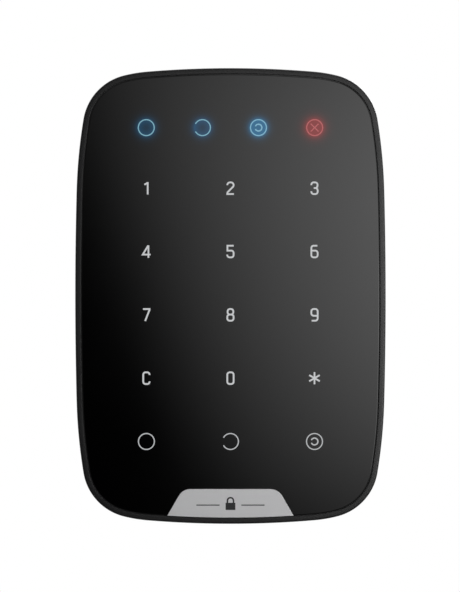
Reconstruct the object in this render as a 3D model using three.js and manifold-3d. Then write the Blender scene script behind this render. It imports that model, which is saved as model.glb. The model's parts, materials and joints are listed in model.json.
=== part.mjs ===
// A slim wireless alarm keypad: a gloss black touch panel in a plastic casing, which slides
// down onto the hooks of a wall plate. All sizes are in millimetres.
//
// Everything is drawn in a flat frame: x to the right, y up, z out from the wall. The last
// lines stand the model up, so that +Z is up and the panel faces -Y. The origin is on the wall
// side of the mounting plate, in the middle of the outline.

import * as THREE from 'three';
import { mergeVertices } from 'three/addons/utils/BufferGeometryUtils.js';
import Module from 'manifold-3d';

const wasm = await Module();
wasm.setup();

// ---------------------------------------------------------------- driving dimensions

const WIDTH = 102.2;
const HEIGHT = 150;
const DEPTH = 14;

// One quarter of the outline is five arcs in a row, each tangent to the next. The directions
// are those of the outward normal where one arc hands over to the next.
const OUTLINE_NORMALS = [0, 1.5, 9.4, 75.6, 85.2, 90].map(THREE.MathUtils.degToRad);
const MIDDLE_RADII = [172, 17.8, 47];
const ARC_STEPS = [2, 3, 9, 2, 3];

const CLEARANCE = 0.3;
const SIDES = 16;
const SMALL_SIDES = 8;
const PAST = 1;

// Wall plate
const PLATE_INSET = 4;
const PLATE_FRONT = 2;
const PLATE_CHAMFER = 0.3;
const PLATE_WINDOW = { x0: -34.8, x1: 34.8, y0: -63.1, y1: -4.6, r: 4 };
const FIXING_SLOT = { width: 9, height: 3.6 };
const FIXING_SLOTS = [[-24, 60], [24, 60], [-24, -66.7], [24, -66.7]];
const HOOK_X = 41;
const HOOK_ROWS = [42, -34];
const HOOK_WIDTH = 6.6;
const HOOK_STEM = 2;
const HOOK_REACH = 6.5;
const HOOK_LIP_BACK = 4.2;
const HOOK_LIP_FRONT = 6;
const HOOK_NOSE = 0.5;
const HOOK_WINDOW = { side: 0.7, below: 0.5, above: 0.2 };
const SLIDE_TRAVEL = 6;

// Breakaway pad in the wall plate, and the ramp that the tamper plunger runs down
const PAD = { x: 13, y0: 22, y1: 38 };
const PERFORATION = 1;
const BRIDGE = 0.8;
const PAD_SCREW = [6, 30];
const PLUNGER_AT = [-6, 26];
const RAMP_SLOPE = 0.15;
const RAMP_REST_DEPTH = 1.6;
const RAMP_HALF_WIDTH = 2.6;
const RAMP_BELOW = 2.6;
const RAMP_ABOVE = 8.6;

// Locking screw and the lug that it enters
const LUG = { x: 3, y0: -66, y1: -64, front: 9.8 };
const LUG_WINDOW = { side: 0.4, below: 0.45, above: 0.4 };
const LOCK_DEPTH = 7.5;
const LOCK_HEAD_OUT = -74.4;
const LOCK_SCREW = { headRadius: 1.7, headHeight: 1, shankRadius: 1.1, length: 9.8 };
const LOCK_BORE_RADIUS = 1.5;
const LOCK_SEAT_GAP = 0.15;

// Rear cover
const COVER_BACK = 2.3;
const COVER_FLOOR = 3.9;
const COVER_RIM = 4.6;
const COVER_LIP = 5.6;
const COVER_SIDE = [[3.2, COVER_BACK], [1.7, 2.9], [0.9, COVER_FLOOR], [0.7, COVER_RIM]];
const LIP_OUTER_INSET = 2.6;
const LIP_INNER_INSET = 3.6;
const BULGE = { x0: -34, x1: 34, y0: -62.5, y1: -11.5, r: 3 };
const BULGE_BACK = 0.6;
const BULGE_WALL = 1.5;
const BAY_LEDGE = { width: 1.2, thickness: 1, screwGap: 3 };
const LABEL = { x0: -38, x1: -14, y0: 2, y1: 18, r: 1.5 };
const LABEL_RECESS = 0.4;
const LABEL_GAP = 0.1;
const LABEL_THICKNESS = 0.18;
const POST_RADIUS = 2;
const BOARD_POSTS = [[-36, 58], [36, 58], [-36, -5], [36, -5]];
const BOARD_POST_GAP = 0.1;

// Front frame
const FRAME_BACK = 4.9;
const FRAME_FRONT = 13.9;
const FRAME_BACK_INSET = 0.7;
const FRAME_FULL_AT = 12.4;
const FRAME_EDGE_RADIUS = 0.55;
const FRAME_EDGE_STEPS = 3;
const FRAME_INNER_INSET = 2.2;
const LEDGE_INSET = 4;
const LEDGE_BACK = 11.9;
const LEDGE_FRONT = 12.7;
const POCKET_INSET = 1.65;

// Every cross-headed screw: shares of its head's radius or height, and of its shank's radius
const SCREW_SHAPE = { slotHalf: 0.15, slotReach: 0.6, slotDepth: 0.5, face: 0.85, edge: 0.3, tip: 0.3 };

// Case screws: one in each corner, one half way up each side
const CASE_SCREW = { headRadius: 2, headHeight: 1.6, shankRadius: 1, length: 7.6 };
const CASE_SCREW_BACK = 2.55;
const CASE_SCREW_INSET = 4.9;
const CASE_SCREW_DIRECTION = THREE.MathUtils.degToRad(42);
const SIDE_SCREW = [46.2, 8];
const BOSS_RADIUS = 3.2;
const BOSS_BACK = COVER_LIP + CLEARANCE;
const BOSS_FRONT = 12;
const CASE_PAD_RADIUS = 3.4;
const PILOT_RADIUS = CASE_SCREW.shankRadius + CLEARANCE;
const PILOT_DEPTH = 10.8;
const COUNTERBORE_RADIUS = 2.4;
const COUNTERBORE_FLOOR = 4.3;

// Touch panel and the sheets behind it
const LENS_INSET = 2;
const LENS_BACK = 12.95;
const LENS_SIDE = [[2, LENS_BACK], [2, 13.75], [2.08, 13.93], [2.25, DEPTH]];
const FILM = { inset: 4.4, back: 12.68, front: 12.84 };
const GUIDE = { inset: 4.6, back: 12.2, front: 12.6 };
const ADHESIVE = { outer: 2.3, inner: 3.8, back: 12.76, front: 12.9 };

// Badge plate: a trapezium with rounded top corners and its foot on the panel's edge
const BADGE_TOP = -63.5;
const BADGE_FOOT = -76;
const BADGE_FOOT_HALF = 22.94;
const BADGE_SLANT = THREE.MathUtils.degToRad(60);
const BADGE_CORNER = 4.5;
const BADGE_BACK = 13.5;
const BADGE_FIT = 0.12;
const BADGE_RECESS = 13.35;

// Main board, with its parts on the side that faces the wall
const BOARD = { x: 41.5, y0: -10, y1: 64, back: 10.9, front: 11.9, topCorner: 12, footCorner: 3 };
const PARTS_FACE = 10.8;
const INDICATORS_Y = 55.38;
const INDICATORS_X = [-27.7, -9.22, 9.22, 27.7];
const BACKLIGHTS = [[-38, 38], [38, 38], [-38, -3], [38, -3]];
const LED = { width: 3, height: 1.6, back: 12, front: 12.5 };
const LED_LENS = 0.15;
const LED_WINDOW_GROW = 0.5;

// What stands on the board: places [x, y], and how far each piece reaches back to the wall
const CHIP = { at: [4, 12], half: 4.5, back: 9.9, markInset: 1.2, markRadius: 0.5, markDepth: 0.2 };
const RADIO = { at: [15, 46], x: 9, y: 7, r: 1, back: 8.9 };
const BUZZER = { at: [-22, 46], radius: 6, back: 6.9, holeRadius: 1.2, holeFront: 8.4 };
const ANTENNAS = [{ at: [-32, 24], side: -1 }, { at: [32, 30], side: 1 }];
const ANTENNA = { halfThickness: 0.4, halfHeight: 10, back: 7.4, foot: 3, footY: 6, footBack: 10.3 };
const CAPACITOR = { at: [-20, 12], radius: 3.1, back: 5.6, chamfer: 0.4 };
const CRYSTAL = { at: [6, 24], x: 4.2, y: 1.8, r: 1.7, back: 8.9 };
const SWITCH_HALF = 3.1;
const TAMPER_SWITCH = { actuatorRadius: 1.2, actuatorBack: 7.5, bodyBack: 8.6 };
const POWER_SWITCH = { actuatorRadius: 1.6, actuatorBack: 7, bodyBack: 7.9 };

// Touch sensor's ribbon, folded round the foot of the board
const RIBBON = { x: 7, thickness: 0.3, frontY: -11.75, front: 12.6, back: 9.9, endY: -5.8 };
const CONNECTOR = { x: 8.5, y0: -5.5, y1: -1, back: 9.2 };
const CONNECTOR_MOUTH = { side: 0.4, deep: 1.5, back: 9.7, front: 10.4 };

// Tamper plunger and power button
const PLUNGER_TIP = RAMP_REST_DEPTH + 0.15;
const PLUNGER_NOSE = [[0, 0], [0.9, 0.2], [1.4, 0.8], [1.5, 1.4]];
const PLUNGER = { radius: 1.5, collar: 3, collarBack: 5, collarFront: 5.8, front: 7.3 };
const PLUNGER_SPRING = { back: 6.15, front: 8.3, radius: 2.4, wire: 0.2, turns: 3 };
const PLUNGER_HOLE = 1.9;
const PLUNGER_GUIDE = { inner: 3.3, outer: 4.3, front: 6.4 };
const BUTTON_AT = [22, 12];
const BUTTON = { back: 2.6, cap: 3.4, edge: 0.4, collar: 4.6, collarBack: 4.2, collarFront: 5 };
const BUTTON_STEM = { radius: 1.4, front: 6.2 };
const BUTTON_HOLE = 3.8;
const BUTTON_GUIDE = { inner: 5, outer: 6, front: COVER_LIP };

// Battery bay: four AAA cells across the keypad, plus ends alternating
const CELL_RADIUS = 5.25;
const CELL_HALF = 22.25;
const CELL_NUB_RADIUS = 1.9;
const CELL_NUB = 1.2;
const CELL_EDGE = 0.35;
const CELL_SHIFT = 2.75;
const CELL_DEPTH = 6.85;
const CELL_PITCH = 11.4;
const CELL_FIRST_Y = -54.1;
const CELL_COUNT = 4;
const TRAY = { x: 27.4, y0: -60.5, y1: -13.5, back: 4.2, front: 11.6, flangeX: 36, flange: 1 };
const TRAY_END_WALL = 1.5;
const TRAY_SLOT_RADIUS = 5.4;
const TRAY_BOSS_HOLE = 2.6;
const TRAY_LEAD_NOTCH = { x: 4, y0: -13.9, y1: -13 };
const CONTACT = { width: 7, height: 7, thickness: 0.4, at: 25.6 };
const CELL_SPRING = { from: 19.95, to: 25.5, wire: 0.3, turns: 3, wide: 3.7, narrow: 2.4 };
const SPRING_STEPS = 8;
const SPRING_SIDES = 5;

// Battery leads, from the tray to the board: [x, y, z] for the right one
const LEAD_RADIUS = 0.6;
const LEAD_STEPS = 16;
const LEAD_ROUTE = [
  [12, -13.2, 9.6],
  [12, -12.4, 9.2],
  [12.6, -9.5, 8.2],
  [14.5, -5, 7.6],
  [16, 0, 8],
  [16.4, 2.6, 9.2],
  [16.4, 3, 10.7],
];

// Battery cover and its two screws
const BATTERY_COVER = { front: 1.5, gap: 0.3, r: 1.5 };
const COVER_SCREW_X = 30.4;
const COVER_SCREW_Y = -37;
const COVER_SCREW = { headRadius: 1.8, headHeight: 0.8, shankRadius: 0.9, length: 5.6 };
const COVER_SCREW_SINK = 0.05;
const COVER_PAD = { radius: 2.6, back: 1, front: 2.1 };
const COVER_BOSS = { radius: 2.2, front: 9, pilotFront: 8 };
const GRIP = { x: 8, y: -57, pitch: 3, halfHeight: 0.5, floor: 0.9 };

// ---------------------------------------------------------------- shape tools

/** A closed geometry as a solid that can be joined and cut. */
function solid(geometry) {
  geometry.deleteAttribute('normal');
  geometry.deleteAttribute('uv');
  const merged = mergeVertices(geometry);
  const corners = merged.index.array;
  const triangles = [];
  for (let i = 0; i < corners.length; i += 3) {
    const [a, b, c] = corners.slice(i, i + 3);
    if (a !== b && b !== c && c !== a) {
      triangles.push(a, b, c);
    }
  }
  return new wasm.Manifold(new wasm.Mesh({
    numProp: 3,
    vertProperties: new Float32Array(merged.attributes.position.array),
    triVerts: new Uint32Array(triangles),
  }));
}

function join(...solids) {
  return solids.flat().reduce((whole, part) => whole.add(part));
}

function cut(base, ...tools) {
  return tools.flat().reduce((rest, tool) => rest.subtract(tool), base);
}

function common(a, b) {
  return a.intersect(b);
}

/** The geometry that a finished solid is shown and exported with. */
function surfaceOf(shape) {
  const mesh = shape.getMesh();
  const geometry = new THREE.BufferGeometry();
  geometry.setAttribute('position', new THREE.BufferAttribute(new Float32Array(mesh.vertProperties), 3));
  geometry.setIndex(new THREE.BufferAttribute(new Uint32Array(mesh.triVerts), 1));
  geometry.computeVertexNormals();
  return geometry;
}

/** A flat outline carried from one distance from the wall to another. */
function slab(outlinePoints, back, front, sides = SMALL_SIDES) {
  const isShape = outlinePoints instanceof THREE.Shape;
  const shape = isShape ? outlinePoints : new THREE.Shape(outlinePoints);
  const depth = front - back;
  const curveSegments = Math.ceil(sides / 4);
  const geometry = new THREE.ExtrudeGeometry(shape, { depth, curveSegments, bevelEnabled: false });
  geometry.translate(0, 0, back);
  return solid(geometry);
}

/** A side profile, given as [y, z] points, carried from x0 to x1. */
function sideSlab(profile, x0, x1) {
  const shape = new THREE.Shape(profile.map(([y, z]) => new THREE.Vector2(y, z)));
  const geometry = new THREE.ExtrudeGeometry(shape, { depth: x1 - x0, bevelEnabled: false });
  geometry.translate(0, 0, x0);
  const sideways = new THREE.Matrix4().makeBasis(
    new THREE.Vector3(0, 1, 0),
    new THREE.Vector3(0, 0, 1),
    new THREE.Vector3(1, 0, 0),
  );
  geometry.applyMatrix4(sideways);
  return solid(geometry);
}

function block(x0, x1, y0, y1, z0, z1) {
  const geometry = new THREE.BoxGeometry(x1 - x0, y1 - y0, z1 - z0);
  geometry.translate((x0 + x1) / 2, (y0 + y1) / 2, (z0 + z1) / 2);
  return solid(geometry);
}

/** A round post standing off the wall. */
function post([x, y], radius, z0, z1, sides = SIDES) {
  const geometry = new THREE.CylinderGeometry(radius, radius, z1 - z0, sides);
  geometry.rotateX(Math.PI / 2);
  geometry.translate(x, y, (z0 + z1) / 2);
  return solid(geometry);
}

/** A round bar lying along y. */
function uprightBar(x, z, radius, y0, y1) {
  const geometry = new THREE.CylinderGeometry(radius, radius, y1 - y0, SIDES);
  geometry.translate(x, (y0 + y1) / 2, z);
  return solid(geometry);
}

/** A round bar lying along x. */
function crossBar(y, z, radius, x0, x1) {
  const geometry = new THREE.CylinderGeometry(radius, radius, x1 - x0, SIDES);
  geometry.rotateZ(Math.PI / 2);
  geometry.translate((x0 + x1) / 2, y, z);
  return solid(geometry);
}

/** A turned piece: [radius, height] points from the foot to the top, round the z axis. */
function turned(profile, sides = SIDES) {
  const points = profile.map(([radius, height]) => new THREE.Vector2(radius, height));
  const geometry = new THREE.LatheGeometry(points, sides);
  geometry.rotateX(Math.PI / 2);
  return solid(geometry);
}

/** Wire of a round section along a curve. */
function wire(curve, radius, steps, sides) {
  const section = new THREE.Shape();
  section.absarc(0, 0, radius, 0, 2 * Math.PI);
  const curveSegments = Math.ceil(sides / 2);
  const options = { steps, curveSegments, extrudePath: curve, bevelEnabled: false };
  return solid(new THREE.ExtrudeGeometry(section, options));
}

function roundedRectangle({ x0, x1, y0, y1, r }) {
  const shape = new THREE.Shape();
  shape.absarc(x1 - r, y1 - r, r, 0, Math.PI / 2);
  shape.absarc(x0 + r, y1 - r, r, Math.PI / 2, Math.PI);
  shape.absarc(x0 + r, y0 + r, r, Math.PI, 1.5 * Math.PI);
  shape.absarc(x1 - r, y0 + r, r, 1.5 * Math.PI, 2 * Math.PI);
  return shape;
}

function grown(rectangle, by) {
  const { x0, x1, y0, y1, r } = rectangle;
  return { x0: x0 - by, x1: x1 + by, y0: y0 - by, y1: y1 + by, r: r + by };
}

// ---------------------------------------------------------------- the outline

/** The first and last radius that bring the chain of arcs to half the width and height. */
function solveOutlineRadii() {
  const across = [];
  const along = [];
  for (let i = 0; i + 1 < OUTLINE_NORMALS.length; i += 1) {
    across.push(Math.cos(OUTLINE_NORMALS[i + 1]) - Math.cos(OUTLINE_NORMALS[i]));
    along.push(Math.sin(OUTLINE_NORMALS[i + 1]) - Math.sin(OUTLINE_NORMALS[i]));
  }
  const last = across.length - 1;
  let missingWidth = -WIDTH / 2;
  let missingHeight = HEIGHT / 2;
  MIDDLE_RADII.forEach((radius, i) => {
    missingWidth -= radius * across[i + 1];
    missingHeight -= radius * along[i + 1];
  });
  const determinant = across[0] * along[last] - across[last] * along[0];
  const first = (missingWidth * along[last] - across[last] * missingHeight) / determinant;
  const final = (across[0] * missingHeight - missingWidth * along[0]) / determinant;
  return [first, ...MIDDLE_RADII, final];
}

/** Centre, radius and end directions of each arc in the upper right quarter. */
function outlineArcs() {
  const at = new THREE.Vector2(WIDTH / 2, 0);
  return solveOutlineRadii().map((radius, i) => {
    const from = OUTLINE_NORMALS[i];
    const to = OUTLINE_NORMALS[i + 1];
    const toCentre = new THREE.Vector2(-Math.cos(from), -Math.sin(from)).multiplyScalar(radius);
    const centre = at.clone().add(toCentre);
    at.set(centre.x + radius * Math.cos(to), centre.y + radius * Math.sin(to));
    return { centre, radius, from, to };
  });
}

const ARCS = outlineArcs();

function onArc({ centre, radius }, direction, inset) {
  const reach = radius - inset;
  return new THREE.Vector2(
    centre.x + reach * Math.cos(direction),
    centre.y + reach * Math.sin(direction),
  );
}

/** The whole outline, moved inwards by the inset, anticlockwise from the right. */
function outline(inset) {
  const quarter = [];
  ARCS.forEach((arc, i) => {
    for (let step = 0; step < ARC_STEPS[i]; step += 1) {
      const direction = arc.from + ((arc.to - arc.from) * step) / ARC_STEPS[i];
      quarter.push(onArc(arc, direction, inset));
    }
  });
  quarter[0].y = 0;
  const top = onArc(ARCS.at(-1), Math.PI / 2, inset);
  top.x = 0;
  const rising = [...quarter];
  const falling = [top, ...quarter.slice(1).reverse()];
  const mirror = (points, sx, sy) => points.map((p) => new THREE.Vector2(sx * p.x, sy * p.y));
  return [
    ...rising,
    ...mirror(falling, -1, 1),
    ...mirror(rising, -1, -1),
    ...mirror(falling, 1, -1),
  ];
}

/** A solid whose outline changes with the distance from the wall: [inset, z] levels. */
function lofted(levels) {
  const rings = levels.map(([inset, z]) => outline(inset).map((p) => [p.x, p.y, z]));
  const count = rings[0].length;
  const index = [];
  for (let level = 0; level + 1 < rings.length; level += 1) {
    for (let i = 0; i < count; i += 1) {
      const next = (i + 1) % count;
      const low = level * count;
      const high = low + count;
      index.push(low + i, low + next, high + next, low + i, high + next, high + i);
    }
  }
  const lastRing = (rings.length - 1) * count;
  const caps = THREE.ShapeUtils.triangulateShape(outline(levels[0][0]), []);
  caps.forEach(([a, b, c]) => {
    index.push(c, b, a, lastRing + a, lastRing + b, lastRing + c);
  });
  const geometry = new THREE.BufferGeometry();
  geometry.setAttribute('position', new THREE.Float32BufferAttribute(rings.flat(2), 3));
  geometry.setIndex(index);
  return solid(geometry);
}

/** The band between two insets of the outline. */
function band(outerInset, innerInset, back, front) {
  const inside = slab(outline(innerInset), back - PAST, front + PAST);
  return cut(slab(outline(outerInset), back, front), inside);
}

// ---------------------------------------------------------------- fasteners

/** A cross-headed screw pointing along z, the head's outer face at the origin. */
function crossHeadScrew({ headRadius, headHeight, shankRadius, length }) {
  const slotHalf = headRadius * SCREW_SHAPE.slotHalf;
  const slotReach = headRadius * SCREW_SHAPE.slotReach;
  const slotDepth = headHeight * SCREW_SHAPE.slotDepth;
  const body = turned([
    [0, 0],
    [headRadius * SCREW_SHAPE.face, 0],
    [headRadius, headHeight * SCREW_SHAPE.edge],
    [headRadius, headHeight],
    [shankRadius, headHeight],
    [shankRadius, length - shankRadius],
    [shankRadius * SCREW_SHAPE.tip, length],
    [0, length],
  ], SMALL_SIDES);
  return cut(
    body,
    block(-slotReach, slotReach, -slotHalf, slotHalf, -PAST, slotDepth),
    block(-slotHalf, slotHalf, -slotReach, slotReach, -PAST, slotDepth),
  );
}

function caseScrewPlaces() {
  const corner = onArc(ARCS[2], CASE_SCREW_DIRECTION, CASE_SCREW_INSET);
  const right = [[corner.x, corner.y], SIDE_SCREW, [corner.x, -corner.y]];
  return [...right, ...right.map(([x, y]) => [-x, y])];
}

// ---------------------------------------------------------------- wall plate

/** A hook that reaches up from the plate, its nose bevelled. */
function hook(side, y) {
  const tip = y + HOOK_REACH;
  const profile = [
    [y, PLATE_FRONT - CLEARANCE],
    [y + HOOK_STEM, PLATE_FRONT - CLEARANCE],
    [y + HOOK_STEM, HOOK_LIP_BACK],
    [tip - HOOK_NOSE, HOOK_LIP_BACK],
    [tip, HOOK_LIP_BACK + HOOK_NOSE],
    [tip, HOOK_LIP_FRONT - HOOK_NOSE],
    [tip - HOOK_NOSE, HOOK_LIP_FRONT],
    [y, HOOK_LIP_FRONT],
  ];
  const centre = side * HOOK_X;
  return sideSlab(profile, centre - HOOK_WIDTH / 2, centre + HOOK_WIDTH / 2);
}

function fixingSlot([x, y]) {
  const { width, height } = FIXING_SLOT;
  const slot = {
    x0: x - width / 2,
    x1: x + width / 2,
    y0: y - height / 2,
    y1: y + height / 2,
    r: height / 2,
  };
  return slab(roundedRectangle(slot), -PAST, PLATE_FRONT + PAST);
}

/** Slots round the breakaway pad, with bridges at the corners and in the middle. */
function padPerforation() {
  const through = (x0, x1, y0, y1) => block(x0, x1, y0, y1, -PAST, PLATE_FRONT + PAST);
  const right = [
    through(PAD.x, PAD.x + PERFORATION, PAD.y0 + BRIDGE, PAD.y1 - BRIDGE),
    through(BRIDGE, PAD.x - BRIDGE, PAD.y1, PAD.y1 + PERFORATION),
    through(BRIDGE, PAD.x - BRIDGE, PAD.y0 - PERFORATION, PAD.y0),
  ];
  return right.flatMap((slot) => [slot, slot.mirror([1, 0, 0])]);
}

function tamperRamp() {
  const [x, y] = PLUNGER_AT;
  const depthAt = (rise) => RAMP_REST_DEPTH - RAMP_SLOPE * rise;
  const profile = [
    [y - RAMP_BELOW, depthAt(-RAMP_BELOW)],
    [y + RAMP_ABOVE, depthAt(RAMP_ABOVE)],
    [y + RAMP_ABOVE, PLATE_FRONT + PAST],
    [y - RAMP_BELOW, PLATE_FRONT + PAST],
  ];
  return sideSlab(profile, x - RAMP_HALF_WIDTH, x + RAMP_HALF_WIDTH);
}

function lockingLug() {
  const rootBack = PLATE_FRONT - CLEARANCE;
  const body = block(-LUG.x, LUG.x, LUG.y0, LUG.y1, rootBack, LUG.front);
  return cut(body, uprightBar(0, LOCK_DEPTH, LOCK_BORE_RADIUS, LUG.y0 - PAST, LUG.y1 + PAST));
}

function makeMountingPlate() {
  const plate = lofted([
    [PLATE_INSET + PLATE_CHAMFER, 0],
    [PLATE_INSET, PLATE_CHAMFER],
    [PLATE_INSET, PLATE_FRONT - PLATE_CHAMFER],
    [PLATE_INSET + PLATE_CHAMFER, PLATE_FRONT],
  ]);
  const pierced = cut(
    plate,
    slab(roundedRectangle(PLATE_WINDOW), -PAST, PLATE_FRONT + PAST),
    FIXING_SLOTS.map(fixingSlot),
    padPerforation(),
    post(PAD_SCREW, FIXING_SLOT.height / 2, -PAST, PLATE_FRONT + PAST),
    tamperRamp(),
  );
  const hooks = HOOK_ROWS.flatMap((y) => [hook(-1, y), hook(1, y)]);
  return join(pierced, hooks, lockingLug());
}

// ---------------------------------------------------------------- rear cover

/** Windows that the hooks pass through, long enough for the keypad's slide. */
function hookWindows() {
  const half = HOOK_WIDTH / 2 + HOOK_WINDOW.side;
  return HOOK_ROWS.flatMap((y) => [-HOOK_X, HOOK_X].map((x) => block(
    x - half,
    x + half,
    y - SLIDE_TRAVEL - HOOK_WINDOW.below,
    y + HOOK_STEM + HOOK_WINDOW.above,
    0,
    COVER_LIP + PAST,
  )));
}

function lugWindow() {
  const half = LUG.x + LUG_WINDOW.side;
  const lowest = LUG.y0 - SLIDE_TRAVEL - LUG_WINDOW.below;
  return block(-half, half, lowest, LUG.y1 + LUG_WINDOW.above, 0, COVER_LIP + PAST);
}

function coverScrewPlaces() {
  return [-1, 1].map((side) => [side * COVER_SCREW_X, COVER_SCREW_Y]);
}

/** The walls round the battery bay, with the ledge that the battery cover rests on. */
function bulgeWalls() {
  const bay = grown(BULGE, -BULGE_WALL);
  const ledgeBack = BATTERY_COVER.front + CLEARANCE;
  const ledgeFront = ledgeBack + BAY_LEDGE.thickness;
  const walls = cut(
    slab(roundedRectangle(BULGE), BULGE_BACK, COVER_FLOOR),
    slab(roundedRectangle(bay), 0, COVER_FLOOR + PAST),
  );
  const ledge = cut(
    slab(roundedRectangle(grown(BULGE, -BULGE_WALL / 2)), ledgeBack, ledgeFront),
    slab(roundedRectangle(grown(bay, -BAY_LEDGE.width)), 0, COVER_FLOOR + PAST),
    coverScrewPlaces().map((at) => post(at, BAY_LEDGE.screwGap, 0, COVER_FLOOR)),
  );
  return join(walls, ledge);
}

function coverScrewBosses() {
  const back = COVER_PAD.front + CLEARANCE;
  return coverScrewPlaces().map((at) => post(at, COVER_BOSS.radius, back, COVER_BOSS.front));
}

function coverScrewPilots() {
  const radius = COVER_SCREW.shankRadius + CLEARANCE;
  return coverScrewPlaces().map((at) => post(at, radius, 0, COVER_BOSS.pilotFront));
}

function guideTube(at, { inner, outer, front }) {
  return cut(
    post(at, outer, COVER_FLOOR - CLEARANCE, front),
    post(at, inner, COVER_FLOOR, front + PAST),
  );
}

/** Round pads inside the floor, which the case screws pass through. */
function caseScrewPads() {
  const back = COVER_FLOOR - CLEARANCE;
  const pads = caseScrewPlaces().map((at) => post(at, CASE_PAD_RADIUS, back, COVER_LIP));
  return common(join(pads), slab(outline(LIP_OUTER_INSET), 0, DEPTH));
}

function boardPosts() {
  const front = PARTS_FACE - BOARD_POST_GAP;
  return BOARD_POSTS.map((at) => post(at, POST_RADIUS, COVER_FLOOR - CLEARANCE, front));
}

function makeRearCover() {
  const shell = cut(
    lofted(COVER_SIDE),
    slab(outline(LIP_OUTER_INSET), COVER_FLOOR, COVER_RIM + PAST),
  );
  const lip = band(LIP_OUTER_INSET, LIP_INNER_INSET, COVER_FLOOR - CLEARANCE, COVER_LIP);
  const bay = slab(roundedRectangle(grown(BULGE, -BULGE_WALL)), 0, COVER_LIP);
  const blank = join(
    cut(join(shell, lip, caseScrewPads()), bay),
    bulgeWalls(),
    coverScrewBosses(),
    boardPosts(),
    guideTube(PLUNGER_AT, PLUNGER_GUIDE),
    guideTube(BUTTON_AT, BUTTON_GUIDE),
  );
  const screwBores = caseScrewPlaces().flatMap((at) => [
    post(at, COUNTERBORE_RADIUS, 0, COUNTERBORE_FLOOR),
    post(at, PILOT_RADIUS, 0, COVER_LIP + PAST, SMALL_SIDES),
  ]);
  return cut(
    blank,
    screwBores,
    coverScrewPilots(),
    hookWindows(),
    lugWindow(),
    post(PLUNGER_AT, PLUNGER_HOLE, 0, COVER_LIP),
    post(BUTTON_AT, BUTTON_HOLE, 0, COVER_LIP),
    slab(roundedRectangle(LABEL), 0, COVER_BACK + LABEL_RECESS),
  );
}

function makeRearLabel() {
  const back = COVER_BACK + LABEL_GAP;
  return slab(roundedRectangle(grown(LABEL, -CLEARANCE)), back, back + LABEL_THICKNESS);
}

// ---------------------------------------------------------------- front frame

function frameLevels() {
  const edgeCentre = FRAME_FRONT - FRAME_EDGE_RADIUS;
  const levels = [[FRAME_BACK_INSET, FRAME_BACK], [0, FRAME_FULL_AT]];
  for (let step = 0; step <= FRAME_EDGE_STEPS; step += 1) {
    const turn = ((Math.PI / 2) * step) / FRAME_EDGE_STEPS;
    levels.push([
      FRAME_EDGE_RADIUS * (1 - Math.cos(turn)),
      edgeCentre + FRAME_EDGE_RADIUS * Math.sin(turn),
    ]);
  }
  return levels;
}

function makeFrontFrame() {
  const shell = cut(
    lofted(frameLevels()),
    slab(outline(FRAME_INNER_INSET), 0, LEDGE_BACK),
    slab(outline(LEDGE_INSET), 0, DEPTH),
    slab(outline(POCKET_INSET), LEDGE_FRONT, DEPTH + PAST),
  );
  const bosses = caseScrewPlaces().map((at) => post(at, BOSS_RADIUS, BOSS_BACK, BOSS_FRONT));
  const pilots = caseScrewPlaces().map((at) => post(at, PILOT_RADIUS, 0, PILOT_DEPTH, SMALL_SIDES));
  const lockBore = uprightBar(0, LOCK_DEPTH, LOCK_BORE_RADIUS, -HEIGHT / 2 - PAST, LUG.y0);
  const headFloor = LOCK_HEAD_OUT + LOCK_SCREW.headHeight + LOCK_SEAT_GAP;
  const headRadius = LOCK_SCREW.headRadius + CLEARANCE;
  const lockHead = uprightBar(0, LOCK_DEPTH, headRadius, -HEIGHT / 2 - PAST, headFloor);
  return cut(join(shell, bosses), pilots, lockBore, lockHead);
}

// ---------------------------------------------------------------- touch panel

/** The badge's outline, grown outwards by the given amount on its top and sides. */
function badgeShape(grow) {
  const top = BADGE_TOP + grow;
  const footHalf = BADGE_FOOT_HALF + grow / Math.sin(BADGE_SLANT);
  const topHalf = footHalf - (top - BADGE_FOOT) / Math.tan(BADGE_SLANT);
  const corner = BADGE_CORNER + grow;
  const back = corner * Math.tan(BADGE_SLANT / 2);
  const centreX = topHalf - back;
  const centreY = top - corner;
  const lean = Math.PI / 2 - BADGE_SLANT;
  const shape = new THREE.Shape();
  shape.moveTo(-footHalf, BADGE_FOOT);
  shape.lineTo(footHalf, BADGE_FOOT);
  shape.absarc(centreX, centreY, corner, lean, Math.PI / 2);
  shape.absarc(-centreX, centreY, corner, Math.PI / 2, Math.PI - lean);
  return shape;
}

function makeTouchPanel() {
  return cut(lofted(LENS_SIDE), slab(badgeShape(BADGE_FIT), BADGE_RECESS, DEPTH + PAST));
}

function makeBadgePlate() {
  const plate = slab(badgeShape(0), BADGE_BACK, DEPTH);
  return common(plate, slab(outline(LENS_INSET + BADGE_FIT), 0, DEPTH + PAST));
}

function ledWindow([x, y]) {
  const halfX = LED.width / 2 + LED_WINDOW_GROW;
  const halfY = LED.height / 2 + LED_WINDOW_GROW;
  return block(x - halfX, x + halfX, y - halfY, y + halfY, GUIDE.back - PAST, GUIDE.front + PAST);
}

function ledPlaces() {
  return [...INDICATORS_X.map((x) => [x, INDICATORS_Y]), ...BACKLIGHTS];
}

function makeLightGuide() {
  const ribbonSlot = block(
    -RIBBON.x - CLEARANCE,
    RIBBON.x + CLEARANCE,
    RIBBON.frontY - CLEARANCE,
    RIBBON.frontY + RIBBON.thickness + CLEARANCE,
    GUIDE.back - PAST,
    GUIDE.front + PAST,
  );
  const sheet = slab(outline(GUIDE.inset), GUIDE.back, GUIDE.front);
  return cut(sheet, ledPlaces().map(ledWindow), ribbonSlot);
}

// ---------------------------------------------------------------- electronics

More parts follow.
